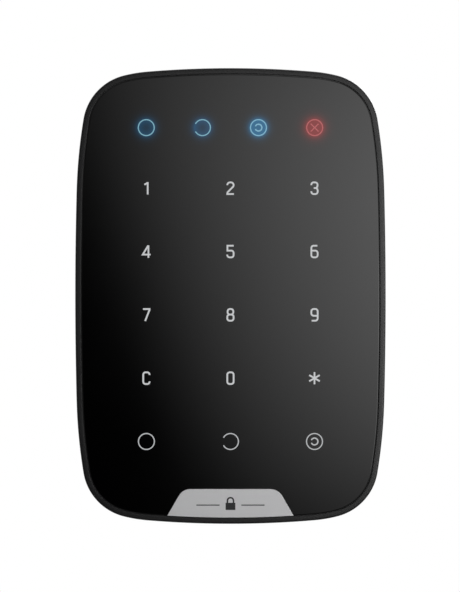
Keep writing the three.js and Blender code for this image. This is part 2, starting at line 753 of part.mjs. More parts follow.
function makeMainBoard() {
  const { x, y0, y1, topCorner, footCorner } = BOARD;
  const shape = new THREE.Shape();
  shape.absarc(x - topCorner, y1 - topCorner, topCorner, 0, Math.PI / 2);
  shape.absarc(-x + topCorner, y1 - topCorner, topCorner, Math.PI / 2, Math.PI);
  shape.absarc(-x + footCorner, y0 + footCorner, footCorner, Math.PI, 1.5 * Math.PI);
  shape.absarc(x - footCorner, y0 + footCorner, footCorner, 1.5 * Math.PI, 2 * Math.PI);
  return slab(shape, BOARD.back, BOARD.front, SIDES);
}

/** A block centred on the origin in x and y. */
function centredBlock(halfX, halfY, back, front) {
  return block(-halfX, halfX, -halfY, halfY, back, front);
}

function makeLed() {
  return join(
    centredBlock(LED.width / 2, LED.height / 2, LED.back, LED.front - LED_LENS),
    centredBlock(LED.width / 3, LED.height / 3, LED.back, LED.front),
  );
}

/** The processor, with the small round mark of its first pin. */
function makeProcessorChip() {
  const mark = CHIP.half - CHIP.markInset;
  const body = centredBlock(CHIP.half, CHIP.half, CHIP.back, PARTS_FACE);
  const floor = CHIP.back + CHIP.markDepth;
  return cut(body, post([-mark, mark], CHIP.markRadius, CHIP.back - PAST, floor, SMALL_SIDES));
}

/** A low can with rounded corners, centred on the origin. */
function makeCan({ x, y, r, back }) {
  return slab(roundedRectangle({ x0: -x, x1: x, y0: -y, y1: y, r }), back, PARTS_FACE);
}

function makeBuzzer() {
  const { radius, back, holeRadius, holeFront } = BUZZER;
  const hole = post([0, 0], holeRadius, back - PAST, holeFront, SMALL_SIDES);
  return cut(post([0, 0], radius, back, PARTS_FACE), hole);
}

/** A bent strip aerial: a foot soldered to the board and a blade standing on its edge. */
function makeAntenna(side) {
  const { halfThickness, halfHeight, back, foot, footY, footBack } = ANTENNA;
  const blade = centredBlock(halfThickness, halfHeight, back, PARTS_FACE);
  const inward = side > 0 ? [-foot, 0] : [0, foot];
  return join(blade, block(...inward, footY, halfHeight, footBack, PARTS_FACE));
}

function makeCapacitor() {
  const { radius, back, chamfer } = CAPACITOR;
  return turned([
    [0, back],
    [radius - chamfer, back],
    [radius, back + chamfer],
    [radius, PARTS_FACE],
    [0, PARTS_FACE],
  ]);
}

function makeSwitch({ actuatorRadius, actuatorBack, bodyBack }) {
  return join(
    centredBlock(SWITCH_HALF, SWITCH_HALF, bodyBack, PARTS_FACE),
    post([0, 0], actuatorRadius, actuatorBack, bodyBack + CLEARANCE, SMALL_SIDES),
  );
}

function makeRibbon() {
  const { frontY, thickness, front, back, endY } = RIBBON;
  const profile = [
    [frontY, front],
    [frontY, back + thickness],
    [frontY + thickness, back],
    [endY, back],
    [endY, back + thickness],
    [frontY + 2 * thickness, back + thickness],
    [frontY + thickness, back + 2 * thickness],
    [frontY + thickness, front],
  ];
  return sideSlab(profile, -RIBBON.x, RIBBON.x);
}

function makeRibbonConnector() {
  const { x, y0, y1, back } = CONNECTOR;
  const body = block(-x, x, y0, y1, back, PARTS_FACE);
  const half = RIBBON.x + CONNECTOR_MOUTH.side;
  const end = y0 + CONNECTOR_MOUTH.deep;
  return cut(body, block(-half, half, y0 - PAST, end, CONNECTOR_MOUTH.back, CONNECTOR_MOUTH.front));
}

// ---------------------------------------------------------------- tamper plunger, button

function makeTamperPlunger() {
  const { radius, collar, collarBack, collarFront, front } = PLUNGER;
  return turned([
    ...PLUNGER_NOSE.map(([noseRadius, rise]) => [noseRadius, PLUNGER_TIP + rise]),
    [radius, collarBack],
    [collar, collarBack],
    [collar, collarFront],
    [radius, collarFront],
    [radius, front],
    [0, front],
  ]);
}

/** Points of a helix about the z axis whose radius may change along its length. */
function helix(from, to, radiusFrom, radiusTo, turns) {
  const points = [];
  const steps = turns * SPRING_STEPS;
  for (let i = 0; i <= steps; i += 1) {
    const share = i / steps;
    const turn = 2 * Math.PI * turns * share;
    const radius = radiusFrom + (radiusTo - radiusFrom) * share;
    points.push(new THREE.Vector3(
      radius * Math.cos(turn),
      radius * Math.sin(turn),
      from + (to - from) * share,
    ));
  }
  return new THREE.CatmullRomCurve3(points);
}

function makeTamperSpring() {
  const { back, front, radius, wire: thickness, turns } = PLUNGER_SPRING;
  const coil = helix(back, front, radius, radius, turns);
  return wire(coil, thickness, turns * SPRING_STEPS, SPRING_SIDES);
}

function makePowerButton() {
  const { back, cap, edge, collar, collarBack, collarFront } = BUTTON;
  return turned([
    [0, back],
    [cap - edge, back],
    [cap, back + edge],
    [cap, collarBack],
    [collar, collarBack],
    [collar, collarFront],
    [BUTTON_STEM.radius, collarFront],
    [BUTTON_STEM.radius, BUTTON_STEM.front],
    [0, BUTTON_STEM.front],
  ]);
}

// ---------------------------------------------------------------- batteries

function cellY(i) {
  return CELL_FIRST_Y + CELL_PITCH * i;
}

/** +1 where a cell's plus end is on the right, -1 where it is on the left. */
function cellSense(i) {
  return i % 2 === 0 ? 1 : -1;
}

function cellPlaces() {
  return Array.from({ length: CELL_COUNT }, (_, i) => ({ y: cellY(i), sense: cellSense(i) }));
}

/** One AAA cell along z, plus end up, its middle at the origin. */
function makeCell() {
  const shoulder = CELL_HALF - CELL_NUB;
  return turned([
    [0, -CELL_HALF],
    [CELL_RADIUS - CELL_EDGE, -CELL_HALF],
    [CELL_RADIUS, -CELL_HALF + CELL_EDGE],
    [CELL_RADIUS, shoulder - CELL_EDGE],
    [CELL_RADIUS - CELL_EDGE, shoulder],
    [CELL_NUB_RADIUS, shoulder],
    [CELL_NUB_RADIUS, CELL_HALF],
    [0, CELL_HALF],
  ]);
}

function makeBatteryTray() {
  const inner = TRAY.x - TRAY_END_WALL;
  const body = block(-TRAY.x, TRAY.x, TRAY.y0, TRAY.y1, TRAY.back, TRAY.front);
  const flangeFront = TRAY.back + TRAY.flange;
  const flange = block(-TRAY.flangeX, TRAY.flangeX, TRAY.y0, TRAY.y1, TRAY.back, flangeFront);
  const slots = cellPlaces().flatMap(({ y }) => [
    crossBar(y, CELL_DEPTH, TRAY_SLOT_RADIUS, -inner, inner),
    block(-inner, inner, y - TRAY_SLOT_RADIUS, y + TRAY_SLOT_RADIUS, 0, CELL_DEPTH),
  ]);
  const bossHoles = coverScrewPlaces().map((at) => post(at, TRAY_BOSS_HOLE, 0, TRAY.front));
  const { x, y0, y1 } = TRAY_LEAD_NOTCH;
  return cut(join(body, flange), slots, bossHoles, block(-x, x, y0, y1, 0, TRAY.front + PAST));
}

/** A flat contact plate standing across x at the origin. */
function makeContact() {
  const { thickness, height, width } = CONTACT;
  return centredBlock(thickness / 2, height / 2, -width / 2, width / 2);
}

/** A conical contact spring along z, wide end at its foot. */
function makeCellSpring() {
  const { from, to, wire: thickness, turns, wide, narrow } = CELL_SPRING;
  const coil = helix(0, to - from - 2 * thickness, wide, narrow, turns);
  return wire(coil, thickness, turns * SPRING_STEPS, SPRING_SIDES);
}

/** Three grooves that a thumb grips the battery cover by. */
function gripGrooves() {
  return [-1, 0, 1].map((step) => {
    const y = GRIP.y + step * GRIP.pitch;
    return block(-GRIP.x, GRIP.x, y - GRIP.halfHeight, y + GRIP.halfHeight, 0, GRIP.floor);
  });
}

function makeBatteryCover() {
  const bay = { ...grown(BULGE, -BULGE_WALL - BATTERY_COVER.gap), r: BATTERY_COVER.r };
  const within = slab(roundedRectangle(bay), 0, DEPTH);
  const plate = slab(roundedRectangle(bay), BULGE_BACK, BATTERY_COVER.front);
  const pads = coverScrewPlaces().map((at) => (
    common(post(at, COVER_PAD.radius, COVER_PAD.back, COVER_PAD.front), within)
  ));
  const bores = coverScrewPlaces().flatMap((at) => [
    post(at, COVER_SCREW.headRadius + CLEARANCE, 0, BATTERY_COVER.front),
    post(at, COVER_SCREW.shankRadius + CLEARANCE, 0, DEPTH, SMALL_SIDES),
  ]);
  return cut(join(plate, pads), bores, gripGrooves());
}

function makeBatteryLead(side) {
  const points = LEAD_ROUTE.map(([x, y, z]) => new THREE.Vector3(side * x, y, z));
  return wire(new THREE.CatmullRomCurve3(points), LEAD_RADIUS, LEAD_STEPS, SMALL_SIDES);
}

// ---------------------------------------------------------------- assembly

// Colour and finish of each kind of material
const LOOKS = {
  casing: { color: 0x1b1b1d, roughness: 0.5, metalness: 0 },
  coverPlastic: { color: 0x202022, roughness: 0.6, metalness: 0 },
  platePlastic: { color: 0x242426, roughness: 0.62, metalness: 0 },
  gloss: { color: 0x0b0b0c, roughness: 0.12, metalness: 0 },
  badgeMetal: { color: 0xb4b4b8, roughness: 0.35, metalness: 0.9 },
  film: { color: 0x8d9aa0, roughness: 0.3, metalness: 0 },
  guide: { color: 0xdfe6ea, roughness: 0.2, metalness: 0 },
  adhesive: { color: 0x101010, roughness: 0.8, metalness: 0 },
  board: { color: 0x14522f, roughness: 0.45, metalness: 0 },
  chip: { color: 0x18181a, roughness: 0.6, metalness: 0 },
  led: { color: 0xe9e6d8, roughness: 0.3, metalness: 0 },
  steel: { color: 0xb8bcc0, roughness: 0.3, metalness: 1 },
  screw: { color: 0x55565a, roughness: 0.4, metalness: 1 },
  ribbon: { color: 0xb07a2a, roughness: 0.4, metalness: 0 },
  switchBody: { color: 0x2a2a2c, roughness: 0.5, metalness: 0 },
  button: { color: 0xd8d8d6, roughness: 0.5, metalness: 0 },
  cell: { color: 0x3a6f4a, roughness: 0.35, metalness: 0.3 },
  leadRed: { color: 0xa01c1c, roughness: 0.5, metalness: 0 },
  leadBlack: { color: 0x151515, roughness: 0.5, metalness: 0 },
  label: { color: 0xe8e8e4, roughness: 0.7, metalness: 0 },
};

/** Adds one named piece. Its place is [x, y] or [x, y, z], its turn three angles. */
function addPiece(parent, name, shape, look, [x, y, z = 0] = [0, 0], turn = [0, 0, 0]) {
  const mesh = new THREE.Mesh(surfaceOf(shape), new THREE.MeshStandardMaterial(LOOKS[look]));
  mesh.name = name;
  mesh.position.set(x, y, z);
  mesh.rotation.set(...turn);
  parent.add(mesh);
}

function buildCasing() {
  const casing = new THREE.Group();
  addPiece(casing, 'front_frame', makeFrontFrame(), 'casing');
  addPiece(casing, 'rear_cover', makeRearCover(), 'coverPlastic');
  addPiece(casing, 'rear_label', makeRearLabel(), 'label');
  caseScrewPlaces().forEach(([x, y], i) => {
    const at = [x, y, CASE_SCREW_BACK];
    addPiece(casing, `case_screw_${i + 1}`, crossHeadScrew(CASE_SCREW), 'screw', at);
  });
  return casing;
}

function buildPanel() {
  const panel = new THREE.Group();
  const { outer, inner, back, front } = ADHESIVE;
  addPiece(panel, 'touch_panel', makeTouchPanel(), 'gloss');
  addPiece(panel, 'badge_plate', makeBadgePlate(), 'badgeMetal');
  addPiece(panel, 'panel_adhesive', band(outer, inner, back, front), 'adhesive');
  addPiece(panel, 'touch_sensor_film', slab(outline(FILM.inset), FILM.back, FILM.front), 'film');
  addPiece(panel, 'light_guide', makeLightGuide(), 'guide');
  return panel;
}

function buildElectronics() {
  const electronics = new THREE.Group();
  addPiece(electronics, 'main_board', makeMainBoard(), 'board');
  INDICATORS_X.forEach((x, i) => {
    addPiece(electronics, `indicator_led_${i + 1}`, makeLed(), 'led', [x, INDICATORS_Y]);
  });
  BACKLIGHTS.forEach((at, i) => {
    addPiece(electronics, `backlight_led_${i + 1}`, makeLed(), 'led', at);
  });
  ANTENNAS.forEach(({ at, side }) => {
    const name = side > 0 ? 'right_antenna' : 'left_antenna';
    addPiece(electronics, name, makeAntenna(side), 'steel', at);
  });
  addPiece(electronics, 'processor_chip', makeProcessorChip(), 'chip', CHIP.at);
  addPiece(electronics, 'radio_shield', makeCan(RADIO), 'steel', RADIO.at);
  addPiece(electronics, 'buzzer', makeBuzzer(), 'chip', BUZZER.at);
  addPiece(electronics, 'capacitor', makeCapacitor(), 'steel', CAPACITOR.at);
  addPiece(electronics, 'crystal', makeCan(CRYSTAL), 'steel', CRYSTAL.at);
  addPiece(electronics, 'tamper_switch', makeSwitch(TAMPER_SWITCH), 'switchBody', PLUNGER_AT);
  addPiece(electronics, 'power_switch', makeSwitch(POWER_SWITCH), 'switchBody', BUTTON_AT);
  addPiece(electronics, 'sensor_ribbon', makeRibbon(), 'ribbon');
  addPiece(electronics, 'ribbon_connector', makeRibbonConnector(), 'label');
  addPiece(electronics, 'red_battery_lead', makeBatteryLead(-1), 'leadRed');
  addPiece(electronics, 'black_battery_lead', makeBatteryLead(1), 'leadBlack');
  return electronics;
}

function addCell(parent, { y, sense }, number) {
  const toPlus = [0, (sense * Math.PI) / 2, 0];
  const cellAt = [sense * CELL_SHIFT, y, CELL_DEPTH];
  const springAt = [-sense * (CELL_SPRING.to - CELL_SPRING.wire), y, CELL_DEPTH];
  const contactAt = [sense * CONTACT.at, y, CELL_DEPTH];
  addPiece(parent, `battery_${number}`, makeCell(), 'cell', cellAt, toPlus);
  addPiece(parent, `battery_spring_${number}`, makeCellSpring(), 'steel', springAt, toPlus);
  addPiece(parent, `battery_contact_${number}`, makeContact(), 'steel', contactAt);
}

function buildBatteryBay() {
  const bay = new THREE.Group();
  addPiece(bay, 'battery_tray', makeBatteryTray(), 'switchBody');
  cellPlaces().forEach((place, i) => addCell(bay, place, i + 1));
  addPiece(bay, 'battery_cover', makeBatteryCover(), 'coverPlastic');
  coverScrewPlaces().forEach(([x, y], i) => {
    const at = [x, y, BULGE_BACK + COVER_SCREW_SINK];
    addPiece(bay, `battery_cover_screw_${i + 1}`, crossHeadScrew(COVER_SCREW), 'screw', at);
  });
  return bay;
}

/** The pieces that move on their own: plunger, power button and locking screw. */
function buildMovers() {
  const movers = new THREE.Group();
  const lockAt = [0, LOCK_HEAD_OUT, LOCK_DEPTH];
  const lockTurn = [-Math.PI / 2, 0, 0];
  addPiece(movers, 'tamper_plunger', makeTamperPlunger(), 'button', PLUNGER_AT);
  addPiece(movers, 'tamper_spring', makeTamperSpring(), 'steel', PLUNGER_AT);
  addPiece(movers, 'power_button', makePowerButton(), 'button', BUTTON_AT);
  addPiece(movers, 'locking_screw', crossHeadScrew(LOCK_SCREW), 'screw', lockAt, lockTurn);
  return movers;
}

const keypad = new THREE.Group();
keypad.rotation.x = Math.PI / 2;
addPiece(keypad, 'mounting_plate', makeMountingPlate(), 'platePlastic');
keypad.add(buildCasing(), buildPanel(), buildElectronics(), buildBatteryBay(), buildMovers());

export default keypad;
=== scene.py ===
import json
import math

import bmesh
import bpy
from mathutils import Matrix, Vector


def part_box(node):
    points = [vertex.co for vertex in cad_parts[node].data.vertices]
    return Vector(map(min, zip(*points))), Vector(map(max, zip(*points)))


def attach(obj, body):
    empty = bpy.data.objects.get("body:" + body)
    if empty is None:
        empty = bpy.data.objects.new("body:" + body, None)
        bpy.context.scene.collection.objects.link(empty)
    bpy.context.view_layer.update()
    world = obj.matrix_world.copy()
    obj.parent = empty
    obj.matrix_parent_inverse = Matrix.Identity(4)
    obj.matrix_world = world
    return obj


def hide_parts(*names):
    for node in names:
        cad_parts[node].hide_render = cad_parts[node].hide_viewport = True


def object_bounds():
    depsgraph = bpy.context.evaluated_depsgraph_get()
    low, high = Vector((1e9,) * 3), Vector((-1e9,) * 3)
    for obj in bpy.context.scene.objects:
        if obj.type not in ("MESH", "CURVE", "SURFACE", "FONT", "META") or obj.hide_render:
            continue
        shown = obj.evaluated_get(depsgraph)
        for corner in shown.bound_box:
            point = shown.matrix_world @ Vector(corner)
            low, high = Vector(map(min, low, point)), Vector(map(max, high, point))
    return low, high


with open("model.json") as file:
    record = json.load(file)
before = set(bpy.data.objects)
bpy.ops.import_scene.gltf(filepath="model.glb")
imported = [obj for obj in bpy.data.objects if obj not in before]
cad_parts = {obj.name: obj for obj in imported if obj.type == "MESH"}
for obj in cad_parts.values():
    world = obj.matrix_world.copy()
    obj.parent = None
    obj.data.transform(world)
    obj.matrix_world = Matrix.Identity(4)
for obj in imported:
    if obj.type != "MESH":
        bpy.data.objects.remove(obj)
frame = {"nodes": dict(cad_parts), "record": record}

CAD_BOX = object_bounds()
NODES = frame["nodes"]
MM = 0.001

# ---------------------------------------------------------------- the keypad's outline

LOW, HIGH = (Vector(corner) for corner in CAD_BOX)
WIDTH = (HIGH.x - LOW.x) / MM
HEIGHT = (HIGH.z - LOW.z) / MM
FRONT = -LOW.y / MM

# One quarter of the outline is five tangent arcs. These are the normals at the joints, the
# radii of the three in the middle, and how many steps each arc is drawn with.
NORMALS = [math.radians(a) for a in (0, 1.5, 9.4, 75.6, 85.2, 90)]
MIDDLE_RADII = (172, 17.8, 47)
ARC_STEPS = (10, 10, 40, 8, 10)


def end_radii():
    """First and last radius that bring the chain of arcs to half the width and height."""
    across = [math.cos(b) - math.cos(a) for a, b in zip(NORMALS, NORMALS[1:])]
    along = [math.sin(b) - math.sin(a) for a, b in zip(NORMALS, NORMALS[1:])]
    width = -WIDTH / 2 - sum(r * d for r, d in zip(MIDDLE_RADII, across[1:]))
    height = HEIGHT / 2 - sum(r * d for r, d in zip(MIDDLE_RADII, along[1:]))
    det = across[0] * along[-1] - across[-1] * along[0]
    first = (width * along[-1] - across[-1] * height) / det
    last = (across[0] * height - width * along[0]) / det
    return first, last


def outline_arcs():
    first, last = end_radii()
    x, z = WIDTH / 2, 0.0
    arcs = []
    for radius, start, end in zip((first, *MIDDLE_RADII, last), NORMALS, NORMALS[1:]):
        cx = x - radius * math.cos(start)
        cz = z - radius * math.sin(start)
        arcs.append((cx, cz, radius, start, end))
        x = cx + radius * math.cos(end)
        z = cz + radius * math.sin(end)
    return arcs


ARCS = outline_arcs()


def outline(inset):
    """The outline moved inwards by inset, in mm, anticlockwise from the right."""
    quarter = []
    for (cx, cz, radius, start, end), steps in zip(ARCS, ARC_STEPS):
        for i in range(steps):
            turn = start + (end - start) * i / steps
            reach = radius - inset
            quarter.append((cx + reach * math.cos(turn), cz + reach * math.sin(turn)))
    top = (0.0, HEIGHT / 2 - inset)
    falling = [top] + quarter[:0:-1]
    return (
        quarter
        + [(-x, z) for x, z in falling]
        + [(-x, -z) for x, z in quarter]
        + [(x, -z) for x, z in falling]
    )


# ---------------------------------------------------------------- mesh tools


def new_object(name, mesh):
    obj = bpy.data.objects.new(name, mesh)
    bpy.context.scene.collection.objects.link(obj)
    return obj


def mesh_object(name, points, faces):
    """An object from points in mm, given as (x, distance from the wall, z)."""
    mesh = bpy.data.meshes.new(name)
    mesh.from_pydata([(x * MM, -d * MM, z * MM) for x, d, z in points], [], faces)
    work = bmesh.new()
    work.from_mesh(mesh)
    bmesh.ops.recalc_face_normals(work, faces=work.faces)
    work.to_mesh(mesh)
    work.free()
    return new_object(name, mesh)


def smooth(obj, angle):
    """Smooth shading that keeps sharp edges crisp and large flat faces truly flat."""
    obj.data.shade_smooth()
    obj.data.set_sharp_from_angle(angle=math.radians(angle))
    weighted = obj.modifiers.new("weighted", "WEIGHTED_NORMAL")
    weighted.keep_sharp = True
    weighted.weight = 100
    return applied(obj)


def outline_rings(levels):
    """The outline's points at each (inset, depth) level, and how many each ring has."""
    rings = [[(x, d, z) for x, z in outline(inset)] for inset, d in levels]
    return [point for ring in rings for point in ring], len(rings[0])


def ring_quads(count, pairs):
    """Faces that join rings of count points, for each pair of ring numbers."""
    faces = []
    for first, second in pairs:
        here, there = first * count, second * count
        for i in range(count):
            k = (i + 1) % count
            faces.append((here + i, here + k, there + k, there + i))
    return faces


def swept_ring(name, profile):
    """A closed ring: the profile of (inset, depth) points carried round the outline."""
    points, count = outline_rings(profile)
    pairs = [(j, (j + 1) % len(profile)) for j in range(len(profile))]
    return mesh_object(name, points, ring_quads(count, pairs))


def lofted_plate(name, levels):
    """A closed plate whose outline follows the (inset, depth) levels from back to front."""
    points, count = outline_rings(levels)
    caps = [tuple(range(count)), tuple(range(len(points) - count, len(points)))]
    pairs = [(j, j + 1) for j in range(len(levels) - 1)]
    return mesh_object(name, points, caps + ring_quads(count, pairs))


def prism(name, shape, back, front):
    """A flat shape of (x, z) points in mm, from one distance from the wall to another."""
    count = len(shape)
    points = [(x, d, z) for d in (back, front) for x, z in shape]
    caps = [tuple(range(count)), tuple(range(count, 2 * count))]
    return mesh_object(name, points, caps + ring_quads(count, [(0, 1)]))


def applied(obj):
    """obj with its modifiers made part of its mesh."""
    graph = bpy.context.evaluated_depsgraph_get()
    mesh = bpy.data.meshes.new_from_object(obj.evaluated_get(graph))
    mesh.name = obj.name
    obj.modifiers.clear()
    obj.data = mesh
    return obj


# How far a cutting tool reaches past the piece that it cuts.
CUT_PAST = 1


def boolean(obj, other, operation):
    change = obj.modifiers.new(operation.lower(), "BOOLEAN")
    change.operation = operation
    change.solver = "EXACT"
    change.object = other
    applied(obj)
    bpy.data.objects.remove(other)
    return obj


def bevelled(obj, width, segments, angle=40):
    bevel = obj.modifiers.new("bevel", "BEVEL")
    bevel.width = width * MM
    bevel.segments = segments
    bevel.limit_method = "ANGLE"
    bevel.angle_limit = math.radians(angle)
    bevel.use_clamp_overlap = True
    return applied(obj)


def finished(obj, body, slot, material, *replaced):
    """Gives a piece its material and body, and hides the CAD nodes that it stands for."""
    obj.data.materials.clear()
    obj.data.materials.append(material)
    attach(obj, body)
    if replaced:
        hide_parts(*replaced)


# ---------------------------------------------------------------- shader tools


class Wiring:
    """A node tree with short ways to add to it."""

    def __init__(self, tree):
        self.tree = tree

    def add(self, kind, **settings):
        node = self.tree.nodes.new(kind)
        for key, value in settings.items():
            setattr(node, key, value)
        return node

    def link(self, output, target):
        self.tree.links.new(output, target)

    def math(self, operation, *values, clamp=False):
        node = self.add("ShaderNodeMath", operation=operation, use_clamp=clamp)
        for i, value in enumerate(values):
            if isinstance(value, (int, float)):
                node.inputs[i].default_value = value
            else:
                self.link(value, node.inputs[i])
        return node.outputs[0]


class Shader(Wiring):
    """A material with a Principled shader, and short ways to drive it."""

    def __init__(self, name, color, roughness, metallic=0.0):
        self.material = bpy.data.materials.new(name)
        self.material.use_nodes = True
        super().__init__(self.material.node_tree)
        self.main = self.tree.nodes["Principled BSDF"]
        self.main.inputs["Base Color"].default_value = (*color, 1)
        self.main.inputs["Roughness"].default_value = roughness
        self.main.inputs["Metallic"].default_value = metallic
        self.main.inputs["IOR"].default_value = 1.5
        self.where = self.add("ShaderNodeTexCoord").outputs["Object"]

    def noise(self, size, detail):
        """Noise whose features are about size mm across."""
        node = self.add("ShaderNodeTexNoise")
        node.inputs["Scale"].default_value = 1 / (size * MM)
        node.inputs["Detail"].default_value = detail
        self.link(self.where, node.inputs["Vector"])
        return node.outputs["Fac"]

    def between(self, amount, low, high):
        node = self.add("ShaderNodeMapRange")
        node.inputs["To Min"].default_value = low
        node.inputs["To Max"].default_value = high
        self.link(amount, node.inputs["Value"])
        return node.outputs[0]

    def mixed(self, amount, first, second):
        node = self.add("ShaderNodeMix", data_type="RGBA")
        self.link(amount, node.inputs[0])
        node.inputs[6].default_value = (*first, 1)
        node.inputs[7].default_value = (*second, 1)
        return node.outputs[2]

    def bump(self, height, depth):
        node = self.add("ShaderNodeBump")
        node.inputs["Distance"].default_value = depth * MM
        self.link(height, node.inputs["Height"])
        self.link(node.outputs[0], self.main.inputs["Normal"])


COLOR_SPREAD = 0.12
METAL_ROUGHNESS_SPREAD = 0.25
METAL_DARKEST = 0.88
LEGEND_PRINT = 0.3
LEGEND_DIMMEST = 0.94


def moulded(name, color, roughness, grain=0.25, depth=0.01, variation=0.06):
    """Moulded plastic with a fine grain, broad roughness patches and a hint of colour change."""
    shader = Shader(name, color, roughness)
    fine = shader.noise(size=grain, detail=4)
    broad = shader.noise(size=14, detail=2)
    shader.link(shader.between(broad, roughness - variation, roughness + variation),
                shader.main.inputs["Roughness"])
    darker = tuple(c * (1 - COLOR_SPREAD) for c in color)
    lighter = tuple(c * (1 + COLOR_SPREAD) for c in color)
    shader.link(shader.mixed(fine, darker, lighter), shader.main.inputs["Base Color"])
    shader.bump(fine, depth)
    return shader.material


def metal(name, color, roughness):
    """Plated metal with a fine uneven finish."""
    shader = Shader(name, color, roughness, metallic=1.0)
    finish = shader.noise(size=0.2, detail=5)
    spread = roughness * METAL_ROUGHNESS_SPREAD
    shader.link(shader.between(finish, roughness - spread, roughness + spread),
                shader.main.inputs["Roughness"])
    darker = tuple(c * METAL_DARKEST for c in color)
    shader.link(shader.mixed(finish, darker, color), shader.main.inputs["Base Color"])
    shader.bump(finish, depth=0.003)
    return shader.material


def printed_light(name, color):
    """A legend: printed white or tinted, and lit from behind with a slightly uneven glow."""
    shader = Shader(name, tuple(c * LEGEND_PRINT for c in color), roughness=0.3)
    uneven = shader.noise(size=2.5, detail=2)
    dimmer = tuple(c * LEGEND_DIMMEST for c in color)
    shader.link(shader.mixed(uneven, dimmer, color), shader.main.inputs["Emission Color"])
    shader.main.inputs["Emission Strength"].default_value = 1.0
    return shader.material


# ---------------------------------------------------------------- legends: places and signs

# All in mm, from the middle of the panel. A sign's own points are measured from its middle.
INDICATORS_Z = 55.38
INDICATORS_X = (-27.7, -9.22, 9.22, 27.7)
KEY_COLUMNS = (-27.65, 0.0, 27.65)
KEY_TOP = 35.45
KEY_PITCH = 20.83
STROKE = 0.56
RING_STROKE = 0.36
INNER_RING_STROKE = 0.44
RING = 2.62
SMALL_RING = 1.12
SMALL_RING_GAP = 24
OPEN_RING_GAP = 29
CROSS = 1.28
ROUND = 0.78
HALF_WIDE = 1.04
HALF_TALL = 1.92
WAIST = 0.3
ASTERISK_REACH = 2.0

# Each legend is a thin solid that stands a little proud of the panel.
LEGEND_PROUD = 0.015
LEGEND_DEPTH = 0.05
LEGEND_FRONT = FRONT
LEGEND_BACK = FRONT - LEGEND_DEPTH
PANEL_FRONT = FRONT - LEGEND_PROUD


def polar(cx, cz, radius, degrees):
    turn = math.radians(degrees)
    return cx + radius * math.cos(turn), cz + radius * math.sin(turn)


def arc(cx, cz, radius, start, end, steps=8):
    """Points of an arc, angles in degrees."""
    return [polar(cx, cz, radius, start + (end - start) * i / steps) for i in range(steps + 1)]


def corner(x, z, start, end):
    """A rounded corner of a sign whose sharp corner would be at x, z."""
    middle = math.radians((start + end) / 2)
    cx = x - math.copysign(ROUND, math.cos(middle))
    cz = z - math.copysign(ROUND, math.sin(middle))
    return arc(cx, cz, ROUND, start, end)


def one():
    return [
        ([(-0.66, 1.17), (0.46, 1.8)], False),
        ([(0.42, 2.02), (0.42, -2.04)], False),
    ]


def two():
    w, h = HALF_WIDE, HALF_TALL
    bend = 0.9
    path = [(-w, h - bend), *arc(-w + bend, h - bend, bend, 180, 90)]
    path += [*arc(w - bend, h - bend, bend, 90, -35)]
    path += [(-w + 0.12, -h + 0.62), (-w, -h + 0.3), (-w, -h), (w + 0.1, -h)]
    return [(path, False)]


def three():
    w, h = HALF_WIDE, HALF_TALL
    path = [(-w, 1.0), *corner(-w, h, 180, 90), *corner(w - 0.05, h, 90, 0)]
    upper = path + [*corner(w - 0.05, 0.05, 0, -90), (-0.25, 0.05)]
    lower = [(-0.25, 0.05), *corner(w, 0.05, 90, 0), *corner(w, -h, 0, -90)]
    lower += [*corner(-w, -h, -90, -180), (-w, -1.0)]
    return [(upper, False), (lower, False)]


def four():
    return [
        ([(0.6, 1.98), (-1.2, -1.0), (1.37, -1.0)], False),
        ([(0.66, 2.02), (0.66, -2.06)], False),
    ]


def five():
    w, h = HALF_WIDE, HALF_TALL
    path = [(w, h), (-w + 0.05, h), (-w + 0.05, WAIST), *corner(w, WAIST, 90, 0)]
    path += [*corner(w, -h, 0, -90), *corner(-w, -h, -90, -180), (-w, -1.0)]
    return [(path, False)]


def six():
    w, h = HALF_WIDE, HALF_TALL
    path = [(w - 0.1, h), *corner(-w, h, 90, 180), *corner(-w, -h, 180, 270)]
    path += [*corner(w, -h, -90, 0), *corner(w, WAIST, 0, 90), (-w, WAIST)]
    return [(path, False)]


def seven():
    return [([(-1.12, 1.9), (1.02, 1.9), (1.02, 1.62), (-0.42, -2.02)], False)]


def loop(half, low, high):
    return (
        corner(half, high, 0, 90)
        + corner(-half, high, 90, 180)
        + corner(-half, low, 180, 270)
        + corner(half, low, 270, 360)
    )


def eight():
    return [
        (loop(HALF_WIDE - 0.1, 0.1, HALF_TALL), True),
        (loop(HALF_WIDE, -HALF_TALL, 0.1), True),
    ]


def nine():
    return [([(-x, -z) for x, z in path], closed) for path, closed in six()]


def letter_c():
    w, h = HALF_WIDE, HALF_TALL
    path = [(w, h - 0.85), *corner(w, h, 0, 90), *corner(-w, h, 90, 180)]
    path += [*corner(-w, -h, 180, 270), *corner(w, -h, 270, 360), (w, -h + 0.85)]
    return [(path, False)]


def zero():
    return [(loop(HALF_WIDE, -HALF_TALL, HALF_TALL), True)]


def asterisk():
    arms = []
    for turn in (30, 90, 150):
        x, z = polar(0, 0, ASTERISK_REACH, turn)
        arms.append(([(-x, -z), (x, z)], False))
    return arms


def ring():
    return [(arc(0, 0, RING, 0, 360, steps=48)[:-1], True)]


def open_ring():
    return [(arc(0, 0, RING, OPEN_RING_GAP - 180, 180 - OPEN_RING_GAP, steps=40), False)]


def double_ring():
    inner = arc(0, 0, SMALL_RING, SMALL_RING_GAP - 180, 180 - SMALL_RING_GAP, steps=24)
    return ring() + [(inner, False, INNER_RING_STROKE)]


def crossed_ring():
    return ring() + [
        ([(-CROSS, -CROSS), (CROSS, CROSS)], False),
        ([(-CROSS, CROSS), (CROSS, -CROSS)], False),
    ]


SAME_POINT = 1e-4
LEAST_MITRE = 0.5


